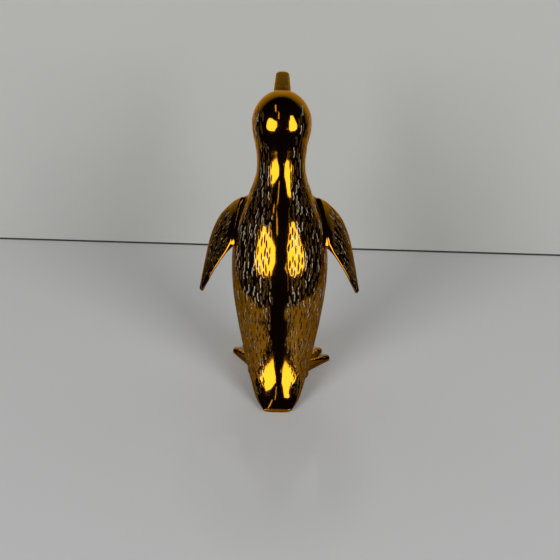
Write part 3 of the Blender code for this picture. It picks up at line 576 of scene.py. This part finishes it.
def wing(side):
    """Blade from inside the body to its rounded tip, with strokes sunk into the outer face."""
    turn = even_turns(WING_COLUMNS, *BLADE_HALVES, WING_POWER)
    along = np.concatenate(((-WING_INSIDE,), np.linspace(0.0, WING_LENGTH, WING_ROWS)))[:, None]
    plain = wing_point(along, turn)
    cos, sin = rounded(turn, WING_POWER)
    chord = np.linalg.norm(plain[:, :1] - plain[:, WING_COLUMNS // 2:][:, :1], axis=2)
    across = (1 - cos) / 2 * chord
    # depth of the strokes and the painted glint beside them, kept on the outer face
    fields = punched(side == "left", along + 0 * across, across, chord + 0 * across, WING_MARGIN,
                     chord - WING_MARGIN, *WING_STROKES)
    stroke, painted_glint = (values * (sin > OUTER_FACE) for values in fields)
    loops = wing_point(along, turn, 0.0, STROKE_DEPTH * stroke)
    radius = WING_THICKNESS[1][-1] / 2
    bend = np.radians(np.linspace(0.0, 90.0, TIP_ROWS + 1)[1:])[:, None]
    drawn_in = -radius * (1 - np.cos(bend)) * TIP_CLOSED
    tip = wing_point(np.full((TIP_ROWS, 1), WING_LENGTH), turn, drawn_in)
    tip = tip + radius * np.sin(bend)[..., None] * WING_ALONG
    loops = np.concatenate((loops, tip))
    edges = ((0, TIP_ROWS), (0, 0))
    fields = {"stroke": np.pad(stroke, edges), "painted_glint": np.pad(painted_glint, edges)}
    thing = tube("wing_%s_blade" % side, loops, side == "left", fields)
    dress(thing, BODY_METAL, "wing_" + side)


for side in SIDES:
    wing(side)

# Wing braze
# A run of brass filler round the root of each wing, filed to a smooth hollow curve between the
# blade and the body, and polished.

FILLET_WIDTH, FILLET_RISE = 2.8, 4.2
FILLET_SINK = 0.5               # how far the filler is carried under both surfaces
FILLET_LIFT = 0.03              # how far its edges stand above them
FILLET_ROWS, FILLET_COLUMNS = 14, 128
SEARCH = np.linspace(-26.0, 26.0, 131)      # tried along a piece for the joint
HALVINGS = 18


def body_height(place):
    """Distance from the body's surface, negative inside. The section is found by halving the range
    in which the place passes from above to below it; there, or on the crown's ellipsoid, the
    distance is the scaled radius less one, over the length of its gradient."""
    low, high = np.zeros(place.shape[:-1]), np.full(place.shape[:-1], HEAD)
    for _ in range(HALVINGS):
        middle = (low + high) / 2
        forward, height, lean = body_frame(middle)[:3]
        above = ((place[..., 1] - forward) * np.sin(lean) + (place[..., 2] - height) * np.cos(lean)) > 0
        low, high = np.where(above, middle, low), np.where(above, high, middle)
    forward, height, lean, width, back, front, _ = body_frame((low + high) / 2)
    y, z = place[..., 1] - forward, place[..., 2] - height
    behind = z * np.sin(lean) - y * np.cos(lean)
    over = np.maximum(y * np.sin(lean) + z * np.cos(lean), 0.0)
    sizes = np.stack((width, np.where(behind > 0, back, front), np.full_like(width, CROWN_HEIGHT)))
    scaled = np.stack((place[..., 0], behind, over)) / sizes
    radius = np.linalg.norm(scaled, axis=0)
    return (radius - 1) * radius / np.linalg.norm(scaled / sizes, axis=0)


def leaving(surface, grow):
    """How far along each line of a surface, moved outwards by grow, it first leaves the body."""
    height = body_height(surface(SEARCH[:, None], grow))
    out = np.maximum(np.argmax(height > 0, axis=0), 1)
    column = np.arange(height.shape[1])
    inside, outside = height[out - 1, column], height[out, column]
    return SEARCH[out - 1] + (SEARCH[out] - SEARCH[out - 1]) * inside / (inside - outside)


def fillet(name, node, surface, width, rise, mirror=False):
    """Ring round a joint. On each line it runs from the piece, a rise beyond the joint, to the body,
    a width beside the piece, in a curve drawn towards the joint by squares of the way along it,
    and it closes under both surfaces."""
    joint, foot = leaving(surface, 0.0), leaving(surface, width)
    top, corner, toe = (surface(joint + rise, FILLET_LIFT), surface(joint, 0.0),
                        surface(foot + FILLET_LIFT, width))
    share = np.linspace(0.0, 1.0, FILLET_ROWS)[:, None, None]
    curve = (1 - share) ** 2 * top + 2 * share * (1 - share) * corner + share ** 2 * toe
    under = np.stack((surface(foot - 2 * FILLET_SINK, width), surface(joint - 2 * FILLET_SINK, 0.0),
                      surface(joint, -FILLET_SINK), surface(joint + rise, -FILLET_SINK)))
    loops = np.concatenate((curve, under)).transpose(1, 0, 2)
    dress(tube(name, loops, mirror, endless=True), BRAZE_METAL, node)


for side in SIDES:
    turns = even_turns(FILLET_COLUMNS, *BLADE_HALVES, WING_POWER)
    fillet("wing_%s_braze" % side, "wing_braze_" + side,
           lambda along, grow: wing_point(along + 0 * turns, turns, grow),
           FILLET_WIDTH, FILLET_RISE, side == "left")

# Feet
# Each foot is cast in brass with its short leg: three toes with a web between them, two creases
# across each toe and a blunt claw. The sole is filed flat.

ANKLE_OUT = 14.5
ANKLE_FORWARD = {"left": 43.5, "right": 40.5}
SPLAY = {"left": math.radians(20), "right": math.radians(32)}
TOES = ((0.0, 33.0), (math.radians(19.5), 30.0), (-math.radians(19.5), 30.0))
TOE_WIDTH, TOE_HEIGHT = 5.6, 4.8
WEB_REACH, WEB_HEIGHT, WEB_TURN, WEB_SOFTNESS = 20.0, 2.6, 26.5, 3.0
HEEL_REACH = 7.6
SOLE_EDGE = 1.4
ANKLE_HEIGHT = 9.0
LEG_RADIUS, LEG_FLARE = 6.0, 1.8
OUTLINE_POWER = 14.0
TOE_ROUNDNESS, INSTEP_FALL = 4.0, 2.5
TOE_CROWDING = 0.7
FOOT_COLUMNS, FOOT_ROWS, LEG_ROWS = 288, 72, 12
CLAW_LENGTH, CLAW_LIFT, CLAW_EDGE = 6.0, 0.35, 0.5
CREASES = (0.0, 4.6, 8.6)       # behind the claw
CREASE_DEPTH, CREASE_WIDTH = 0.45, 0.5
LEG_INSIDE = 2.0
FOOT_GLOSS = 0.10
LEG_SEARCH = np.linspace(60.0, 0.0, 601)    # heights tried for a leg's upper end


def place_foot(side, along, across, height):
    """Places measured from the ankle along the middle toe and outwards, turned by the splay."""
    out = ANKLE_OUT + along * math.sin(SPLAY[side]) + across * math.cos(SPLAY[side])
    forward = ANKLE_FORWARD[side] + along * math.cos(SPLAY[side]) - across * math.sin(SPLAY[side])
    return np.stack(np.broadcast_arrays(out, forward, height), axis=-1)


def toe_reach(turn, length):
    """How far a ray, turned from a toe's axis, runs inside a straight bar with a round end."""
    half = TOE_WIDTH / 2
    middle, sin, cos = length - half, np.sin(turn), np.cos(turn)
    flank = half / np.maximum(np.abs(sin), 1e-12)
    end = middle * cos + np.sqrt(np.maximum(half ** 2 - (middle * sin) ** 2, 0.0))
    return np.where(cos > 0, np.where(flank * cos < middle, flank, end), half)


def sole_reach(turn):
    """The foot's outline: a smooth maximum, as a high-power mean, of the web and the toes."""
    past = np.degrees(np.abs(turn)) - WEB_TURN
    total = (HEEL_REACH + (WEB_REACH - HEEL_REACH) / (1 + np.exp(past / WEB_SOFTNESS))) ** OUTLINE_POWER
    for heading, length in TOES:
        total = total + toe_reach(turn - heading, length) ** OUTLINE_POWER
    return total ** (1 / OUTLINE_POWER)


def toe_height(along, across):
    """Height of web and toes, each toe a half ellipse across, with creases and a raised claw."""
    height = np.full(along.shape, WEB_HEIGHT)
    for heading, length in TOES:
        down = along * math.cos(heading) + across * math.sin(heading)
        aside = across * math.cos(heading) - along * math.sin(heading)
        ridge = TOE_HEIGHT * np.sqrt(np.maximum(1 - (2 * aside / TOE_WIDTH) ** 2, 0.0))
        start = length - CLAW_LENGTH
        for crease in CREASES:
            ridge = ridge - CREASE_DEPTH * np.exp(-((down - start + crease) / CREASE_WIDTH) ** 2)
        ridge = ridge + CLAW_LIFT * np.clip((down - start - CREASE_WIDTH) / CLAW_EDGE, 0.0, 1.0)
        height = np.maximum(height, ridge)
    return height


def leg_point(side, along, turn, grow):
    """Upright round leg, along measured down from the body, that widens evenly upwards."""
    height = LEG_TOP[side] - along
    share = np.clip((height - ANKLE_HEIGHT) / (LEG_TOP[side] - ANKLE_HEIGHT), 0, 1)
    radius = LEG_RADIUS + LEG_FLARE * share
    return place_foot(side, (radius + grow) * np.cos(turn), (radius + grow) * np.sin(turn), height)


def first_out(tries, places):
    """First of the tried values at which the place lies outside the body, by even steps between
    that one and the one before."""
    height = body_height(places)
    out = int(np.argmax(height > 0))
    return np.interp(0.0, height[out - 1:out + 1], tries[out - 1:out + 1])


LEG_TOP = {side: first_out(LEG_SEARCH, place_foot(side, 0.0, 0.0, LEG_SEARCH)) for side in SIDES}


def foot(side):
    """Rings down the leg, then over the toes in growing shares of the outline, to the sole."""
    step = np.arange(FOOT_COLUMNS) * 2 * math.pi / FOOT_COLUMNS
    turn = step - TOE_CROWDING * np.sin(step)
    turn = (turn + math.pi) % (2 * math.pi) - math.pi
    down = np.linspace(-LEG_INSIDE, LEG_TOP[side] - ANKLE_HEIGHT, LEG_ROWS)[:, None]
    leg = leg_point(side, down, turn, 0.0)
    spread = np.sin(np.linspace(0.0, math.pi / 2, FOOT_ROWS + 1)[1:])[:, None]
    radius = LEG_RADIUS + (sole_reach(turn) - LEG_RADIUS) * spread
    along, across = radius * np.cos(turn), radius * np.sin(turn)
    top = SOLE_EDGE + (toe_height(along, across) - SOLE_EDGE) * np.sqrt(1 - spread ** TOE_ROUNDNESS)
    top = top + (ANKLE_HEIGHT - top) * (1 - spread) ** INSTEP_FALL
    toes = place_foot(side, along, across, top)
    sole = toes[-1:] * np.array((1.0, 1.0, 0.0))
    thing = tube("foot_%s_cast" % side, np.concatenate((leg, toes, sole)), side == "left")
    dress(thing, PLAIN_METAL, "foot_" + side)


PLAIN_METAL = polished_metal("plain_brass", BRASS, WARM_BRASS, False, FOOT_GLOSS, UNEVENNESS)
for side in SIDES:
    foot(side)

# Ankle braze
# A run of brass filler round the top of each leg, where it is brazed into the underside of the
# body, filed to a hollow curve like that round the wings.

ANKLE_FILLET_WIDTH, ANKLE_FILLET_RISE = 2.0, 2.6
for side in SIDES:
    turns = np.arange(FILLET_COLUMNS) * 2 * math.pi / FILLET_COLUMNS
    fillet("ankle_%s_braze" % side, "ankle_braze_" + side,
           lambda along, grow: leg_point(side, along, turns, grow),
           ANKLE_FILLET_WIDTH, ANKLE_FILLET_RISE, side == "left")

# Beak
# A broad, blunt brass casting, duller than the rest, with a line for the mouth along each side and
# two nostrils. Its base is brazed to the front of the head.

BEAK_RISE = math.radians(43)
BEAK_LENGTH = 18.47
BEAK_WIDTH, BEAK_TIP_WIDTH = 11.8, 8.4
BEAK_DEPTH, BEAK_TIP_DEPTH = 9.4, 4.2
BEAK_DROOP, BEAK_CORNER, BEAK_POWER = 1.4, 2.0, 2.6
BEAK_INSIDE = 2.0
BEAK_ROWS, BEAK_COLUMNS, BEAK_TIP_ROWS = 72, 144, 8
MOUTH_DEPTH, MOUTH_WIDTH, MOUTH_LEVEL, MOUTH_START = 0.4, 0.28, -0.9, 3.0
MOUTH_SIDES = 0.5               # least cosine of turn, without sign, on the beak's sides
NOSTRIL_ALONG, NOSTRIL_ASIDE, NOSTRIL_LENGTH, NOSTRIL_WIDTH, NOSTRIL_DEPTH = 6.0, 2.5, 1.3, 0.55, 0.5
BEAK_FILLET_WIDTH, BEAK_FILLET_RISE = 1.6, 2.0
DULL_BRASS = (0.84, 0.43, 0.034, 1.0)
DULL_SHADE = (0.66, 0.31, 0.022, 1.0)
DULL_GLOSS, DULL_UNEVENNESS = 0.42, 0.015

BEAK_AXIS = np.array((0.0, math.cos(BEAK_RISE), math.sin(BEAK_RISE)))
BEAK_UP = np.array((0.0, -math.sin(BEAK_RISE), math.cos(BEAK_RISE)))
HEAD_MIDDLE = np.append(0.0, SECTIONS[-1, :2])
BEAK_SEARCH = np.linspace(0.0, 30.0, 601)   # distances tried for the root
BEAK_ROOT = (HEAD_MIDDLE
             + first_out(BEAK_SEARCH, HEAD_MIDDLE + BEAK_SEARCH[:, None] * BEAK_AXIS) * BEAK_AXIS)


def beak_point(along, turn, grow=0.0, corner=0.0):
    """Rounded rectangle across the beak's axis, which narrows evenly to the tip and droops by the
    square of the way there; corner draws it in."""
    share = np.clip(along / BEAK_LENGTH, 0.0, 1.0)
    width = (BEAK_WIDTH + (BEAK_TIP_WIDTH - BEAK_WIDTH) * share) / 2 + grow - corner
    depth = (BEAK_DEPTH + (BEAK_TIP_DEPTH - BEAK_DEPTH) * share) / 2 + grow
    depth = depth - corner * BEAK_TIP_DEPTH / BEAK_TIP_WIDTH
    cos, sin = rounded(turn, BEAK_POWER)
    out, up = width * cos, depth * sin - BEAK_DROOP * share ** 2
    place = BEAK_ROOT + (along + 0 * up)[..., None] * BEAK_AXIS + up[..., None] * BEAK_UP
    return place + out[..., None] * SIDEWAYS


def beak():
    """Beak from inside the head to its blunt tip, with the mouth's line and the nostrils sunk."""
    turn = even_turns(BEAK_COLUMNS, BEAK_WIDTH / 2, BEAK_DEPTH / 2, BEAK_POWER)
    shaft = np.linspace(-BEAK_INSIDE, BEAK_LENGTH - BEAK_CORNER, BEAK_ROWS)[:, None]
    bend = np.radians(np.linspace(0.0, 90.0, BEAK_TIP_ROWS + 1)[1:])[:, None]
    along = np.concatenate((shaft, BEAK_LENGTH - BEAK_CORNER + BEAK_CORNER * np.sin(bend)))
    corner = np.concatenate((0 * shaft, BEAK_CORNER * (1 - np.cos(bend))))
    plain = beak_point(along, turn, 0.0, corner)
    level = (plain - BEAK_ROOT) @ BEAK_UP + BEAK_DROOP * (along / BEAK_LENGTH) ** 2
    mouth = np.exp(-((level - MOUTH_LEVEL) / MOUTH_WIDTH) ** 2) * (np.abs(np.cos(turn)) > MOUTH_SIDES)
    mouth = mouth * np.clip(along - MOUTH_START, 0.0, 1.0)
    aside = (np.abs(plain[..., 0]) - NOSTRIL_ASIDE) / NOSTRIL_WIDTH
    hole = np.exp(-((along - NOSTRIL_ALONG) / NOSTRIL_LENGTH) ** 2 - aside ** 2) * (np.sin(turn) > 0)
    sunk = beak_point(along, turn, -MOUTH_DEPTH * mouth - NOSTRIL_DEPTH * hole, corner)
    dress(tube("beak_cast", sunk), BEAK_METAL, "beak")


BEAK_METAL = polished_metal("dull_brass", DULL_BRASS, DULL_SHADE, False, DULL_GLOSS, DULL_UNEVENNESS)
beak()
turns = even_turns(FILLET_COLUMNS, BEAK_WIDTH / 2, BEAK_DEPTH / 2, BEAK_POWER)
fillet("beak_ring", "beak_braze", lambda along, grow: beak_point(along + 0 * turns, turns, grow),
       BEAK_FILLET_WIDTH, BEAK_FILLET_RISE)

# Table, wall and light
# A pale glossy table with a pale wall close behind it, and a dark strip at the wall's foot that is
# painted shade of the gap under it. The polished metal mirrors a set of its own: two bright window
# shapes, thin lamps, the table painted darker as painted shade, with a notch below the bird that is
# a painted shadow on the table, and the wall painted lighter as painted light, with painted shade
# that darkens it to both sides and upwards.

PITCH, ROLL = math.radians(31.0), math.radians(0.9)
CAMERA_HEIGHT, CAMERA_BACK, CAMERA_ASIDE = 268.0, 274.2, 0.4
SENSOR = 36.0
GROUND_REACH = 600.0            # half of the table's side, and how far the wall reaches
WALL_FORWARD, WALL_TURN = 236.7, math.radians(1.8)
WALL_HALF, WALL_TOP, WALL_EVEN = 365.0, 560.0, 110.0    # painted shade darkens the mirrored wall sideways and up
TABLE_OUTLINE = ((-450, WALL_FORWARD), (-215, 60), (-171, -61), (-92, -87), (-55, -118), (-50, -20),
                 (24, -20), (27, -116), (60, -120), (84, -101), (164, -87), (217, 41),
                 (450, WALL_FORWARD))                   # of the mirrored table; its notch below the bird, where the dark room shows, is a painted shadow
ROOM_RADIUS = 3000.0
CARD_NEARER, STRIP_NEARER = 0.4, 0.1
TABLE_COLOR = (0.76, 0.765, 0.765, 1.0)
# the mirrored table is painted darker than the table: painted shade
SHADED_MIRRORED_TABLE_COLOR = (0.33, 0.31, 0.26, 1.0)
TABLE_GLOSS, TABLE_SHINE, DULL_PAINT = 1.9, 0.12, 0.6
SPOT_FORWARD, SPOT_RADIUS, SPOT_FADED = -45.0, 30.0, 70.0
WALL_COLOR = (0.47, 0.475, 0.455, 1.0)
# the mirrored wall is painted lighter than the wall: painted light
LIT_MIRRORED_WALL_COLOR = (0.80, 0.80, 0.80, 1.0)
ROOM_COLOR = (0.003, 0.0025, 0.002, 1.0)
DAYLIGHT = (0.98, 0.99, 1.0, 1.0)
SKY_LIGHT, BACKDROP_LIGHT = 0.07, 0.35
WINDOW_COLOR, WINDOW_STRENGTH = (1.0, 1.0, 1.0, 1.0), 2.85
GAP_HEIGHT, GAP_SHADE_COLOR, GAP_ROUGHNESS = 1.9, (0.03, 0.03, 0.03, 1.0), 0.8    # under the wall: a dark strip, painted shade of the gap there
CARD_AWAY, CARD_MIDDLE = 2700.0, (0.0, 35.0, 100.0)     # of the mirrored lights, from the bird
LIGHTS = {          # corners in degrees from straight behind the camera towards +X, and above level
    "window_left": ((-46, 31), (-30, 31), (-10, 21), (-9, 6), (-16, -7), (-44, -7), (-52, 0), (-51, 18)),
    "window_right": ((16, -2), (22, -7), (42, -7), (51, -3), (52, 10), (45, 26), (41, 40), (28, 40),
                     (24, 30), (17, 22)),
    "thin_lamp": ((-6.6, 30), (-8.0, 38), (-11.1, 50), (-16.0, 53.0), (-16.3, 52.6), (-12.5, 50.4),
                  (-9.2, 38), (-7.6, 30)),
    "bent_lamp": ((-70.7, 69.7), (-56.0, 67.1), (-36.3, 59.0), (-27.0, 51.4), (-25.4, 51.4),
                  (-34.0, 59.2), (-52.6, 67.7), (-67.5, 70.6)),
    "small_lamp": ((10.2, -0.8), (11.8, -0.8), (11.8, 0.8), (10.2, 0.8)),
}
SOFTBOX_AWAY, SOFTBOX_WIDTH, SOFTBOX_POWER = 1400.0, 620.0, 10.9
SOFTBOX_ASIDE, SOFTBOX_ABOVE = math.radians(45), math.radians(19)


def plain_material(name, color, rough, see_through=False):
    """Even painted surface; see_through lets the camera look through it from behind."""
    material, new, shader = new_material(name)
    tree = material.node_tree
    shader.inputs["Base Color"].default_value = color
    shader.inputs["Roughness"].default_value = rough
    if see_through:
        behind = new.node("ShaderNodeNewGeometry", output=6)
        clear = new.node("ShaderNodeBsdfTransparent")
        both = new.node("ShaderNodeMixShader", None,
                        {0: behind, 1: Wire(tree, shader.outputs[0]), 2: clear})
        both.into(tree.nodes["Material Output"], "Surface")
    return material


def wiped_material():
    """Paint of the table, which mirrors only round a spot at the bird's tail and is duller away
    from it."""
    material = plain_material("table_paint", TABLE_COLOR, TABLE_SHINE)
    tree = material.node_tree
    shiny = tree.nodes["Principled BSDF"]
    shiny.inputs["IOR"].default_value = TABLE_GLOSS
    new = Wire(tree)
    dull = new.node("ShaderNodeBsdfPrincipled", None,
                    {"Base Color": TABLE_COLOR, "Roughness": DULL_PAINT, "Specular IOR Level": 0.0})
    place = new.node("ShaderNodeTexCoord", output=3)
    spot = (0.0, (SHIFT + SPOT_FORWARD) * MM, 0.0)
    away = new.node("ShaderNodeVectorMath", {"operation": "DISTANCE"},
                    {"Vector": place, "Vector_001": spot}, 1)
    faded = new.node("ShaderNodeMapRange", {"interpolation_type": "SMOOTHSTEP"},
                     {"From Min": SPOT_RADIUS * MM, "From Max": SPOT_FADED * MM, "Value": away})
    both = new.node("ShaderNodeMixShader", None, {0: faded, 1: Wire(tree, shiny.outputs[0]), 2: dull})
    both.into(tree.nodes["Material Output"], "Surface")
    return material


def shaded_wall_material():
    """Paint of the mirrored wall, lighter than the wall as painted light, with painted shade that darkens
    it by equal steps to both sides and upwards.
    """
    material = plain_material("wall_paint_mirrored", LIT_MIRRORED_WALL_COLOR, DULL_PAINT)
    tree = material.node_tree
    new = Wire(tree)
    place = new.node("ShaderNodeTexCoord", output=3)
    apart = [new.node("ShaderNodeSeparateXYZ", None, {"Vector": place}, side) for side in (0, 2)]
    aside = new.math_node("ABSOLUTE", apart[0], 0.0) * (1 / (WALL_HALF * MM))
    above = new.math_node("MAXIMUM", apart[1] - WALL_EVEN * MM, 0.0) * (1 / ((WALL_TOP - WALL_EVEN) * MM))
    left = new.math_node("MAXIMUM", 1 - aside, 0.0) * new.math_node("MAXIMUM", 1 - above, 0.0)
    new.blend(left, ROOM_COLOR, LIT_MIRRORED_WALL_COLOR).into(tree.nodes["Principled BSDF"], "Base Color")
    return material


def glow_material(name, color, strength):
    """Even light given off by a card that only the metal's mirror surface shows."""
    material, new, shader = new_material(name)
    material.node_tree.nodes.remove(shader)
    glow = new.node("ShaderNodeEmission", None, {"Color": color, "Strength": strength})
    glow.into(material.node_tree.nodes["Material Output"], "Surface")
    return material


def stage_card(name, points, material, mirrored):
    """Flat part of the set, from corners in millimetres forward of the tail's end, that is seen
    either by the camera or only as a mirror image in glossy surfaces, a little in front of the
    part that the camera sees."""
    mesh = bpy.data.meshes.new(name)
    nearer = CARD_NEARER * mirrored
    corners = (np.array(points, float) + (0.0, SHIFT - nearer, nearer)) * MM
    mesh.from_pydata(corners.tolist(), [], [tuple(range(len(corners)))])
    mesh.materials.append(material)
    card = add_object(name, mesh)
    for ray in ("camera", "diffuse", "transmission", "shadow"):
        setattr(card, "visible_" + ray, not mirrored)
    card.visible_glossy = mirrored


def wall_corners(half, top):
    """Corners of the wall behind the table, which is turned a little about its middle."""
    x = np.array((-half, half, half, -half))
    return np.stack((x, WALL_FORWARD - x * math.tan(WALL_TURN), np.array((0.0, 0.0, top, top))), axis=1)


def far_corners(bearings):
    """Corners far from the bird, from angles in degrees as in LIGHTS."""
    aside, above = np.radians(np.array(bearings, float)).T
    away = np.stack((np.sin(aside) * np.cos(above), -np.cos(aside) * np.cos(above), np.sin(above)), axis=1)
    return CARD_MIDDLE + CARD_AWAY * away


square = np.array(((-1, -1, 0), (1, -1, 0), (1, 1, 0), (-1, 1, 0))) * GROUND_REACH
stage_card("table", square, wiped_material(), False)
# table that only the metal mirrors: darker as painted shade, notched for a painted shadow
stage_card("table_mirrored", np.pad(np.array(TABLE_OUTLINE, float), ((0, 0), (0, 1))),
           plain_material("table_paint_mirrored", SHADED_MIRRORED_TABLE_COLOR, DULL_PAINT), True)
wall_paint = plain_material("wall_paint", WALL_COLOR, DULL_PAINT, see_through=True)
stage_card("wall", wall_corners(GROUND_REACH, GROUND_REACH), wall_paint, False)
# dark strip at the wall's foot: painted shade of the gap under the wall
stage_card("gap", wall_corners(GROUND_REACH, GAP_HEIGHT) - (0.0, STRIP_NEARER, 0.0),
           plain_material("gap", GAP_SHADE_COLOR, GAP_ROUGHNESS, see_through=True), False)
# wall that only the metal mirrors, with painted light and painted shade
stage_card("wall_mirrored", wall_corners(WALL_HALF, WALL_TOP), shaded_wall_material(), True)
glow = glow_material("window_light", WINDOW_COLOR, WINDOW_STRENGTH)
for name, bearings in LIGHTS.items():
    stage_card(name, far_corners(bearings), glow, True)

bpy.ops.mesh.primitive_ico_sphere_add(subdivisions=5, radius=ROOM_RADIUS * MM)
room = bpy.context.object
room.name = "dark_room"
room.data.materials.append(glow_material("dark_room", ROOM_COLOR, 1.0))
for ray in ("camera", "diffuse", "transmission", "shadow"):
    setattr(room, "visible_" + ray, False)

world = bpy.data.worlds.new("daylight")
bpy.context.scene.world = world
world.use_nodes = True
new = Wire(world.node_tree)
seen = sum(new.node("ShaderNodeLightPath", output=ray) for ray in (0, 3, 6))    # directly, in gloss, glass
sky = world.node_tree.nodes["Background"]
sky.inputs["Color"].default_value = DAYLIGHT
(seen * BACKDROP_LIGHT + SKY_LIGHT).into(sky, "Strength")

for name, side in (("softbox_left", -1.0), ("softbox_right", 1.0)):
    data = bpy.data.lights.new(name, "AREA")
    data.size = SOFTBOX_WIDTH * MM
    data.energy = SOFTBOX_POWER
    lamp = add_object(name, data)
    level = SOFTBOX_AWAY * math.cos(SOFTBOX_ABOVE) * MM
    lamp.location = (side * level * math.sin(SOFTBOX_ASIDE), -level * math.cos(SOFTBOX_ASIDE),
                     SOFTBOX_AWAY * math.sin(SOFTBOX_ABOVE) * MM)
    lamp.rotation_euler = (math.pi / 2 - SOFTBOX_ABOVE, 0.0, side * SOFTBOX_ASIDE)
    lamp.visible_camera = False
    lamp.visible_glossy = False

camera = add_object("camera", bpy.data.cameras.new("camera"))
bpy.context.scene.camera = camera
camera.data.sensor_width = camera.data.lens = SENSOR
camera.location = (CAMERA_ASIDE * MM, (SHIFT - CAMERA_BACK) * MM, CAMERA_HEIGHT * MM)
camera.rotation_euler = (Matrix.Rotation(math.pi / 2 - PITCH, 4, "X")
                         @ Matrix.Rotation(ROLL, 4, "Z")).to_euler()
bpy.context.scene.view_settings.view_transform = "Standard"
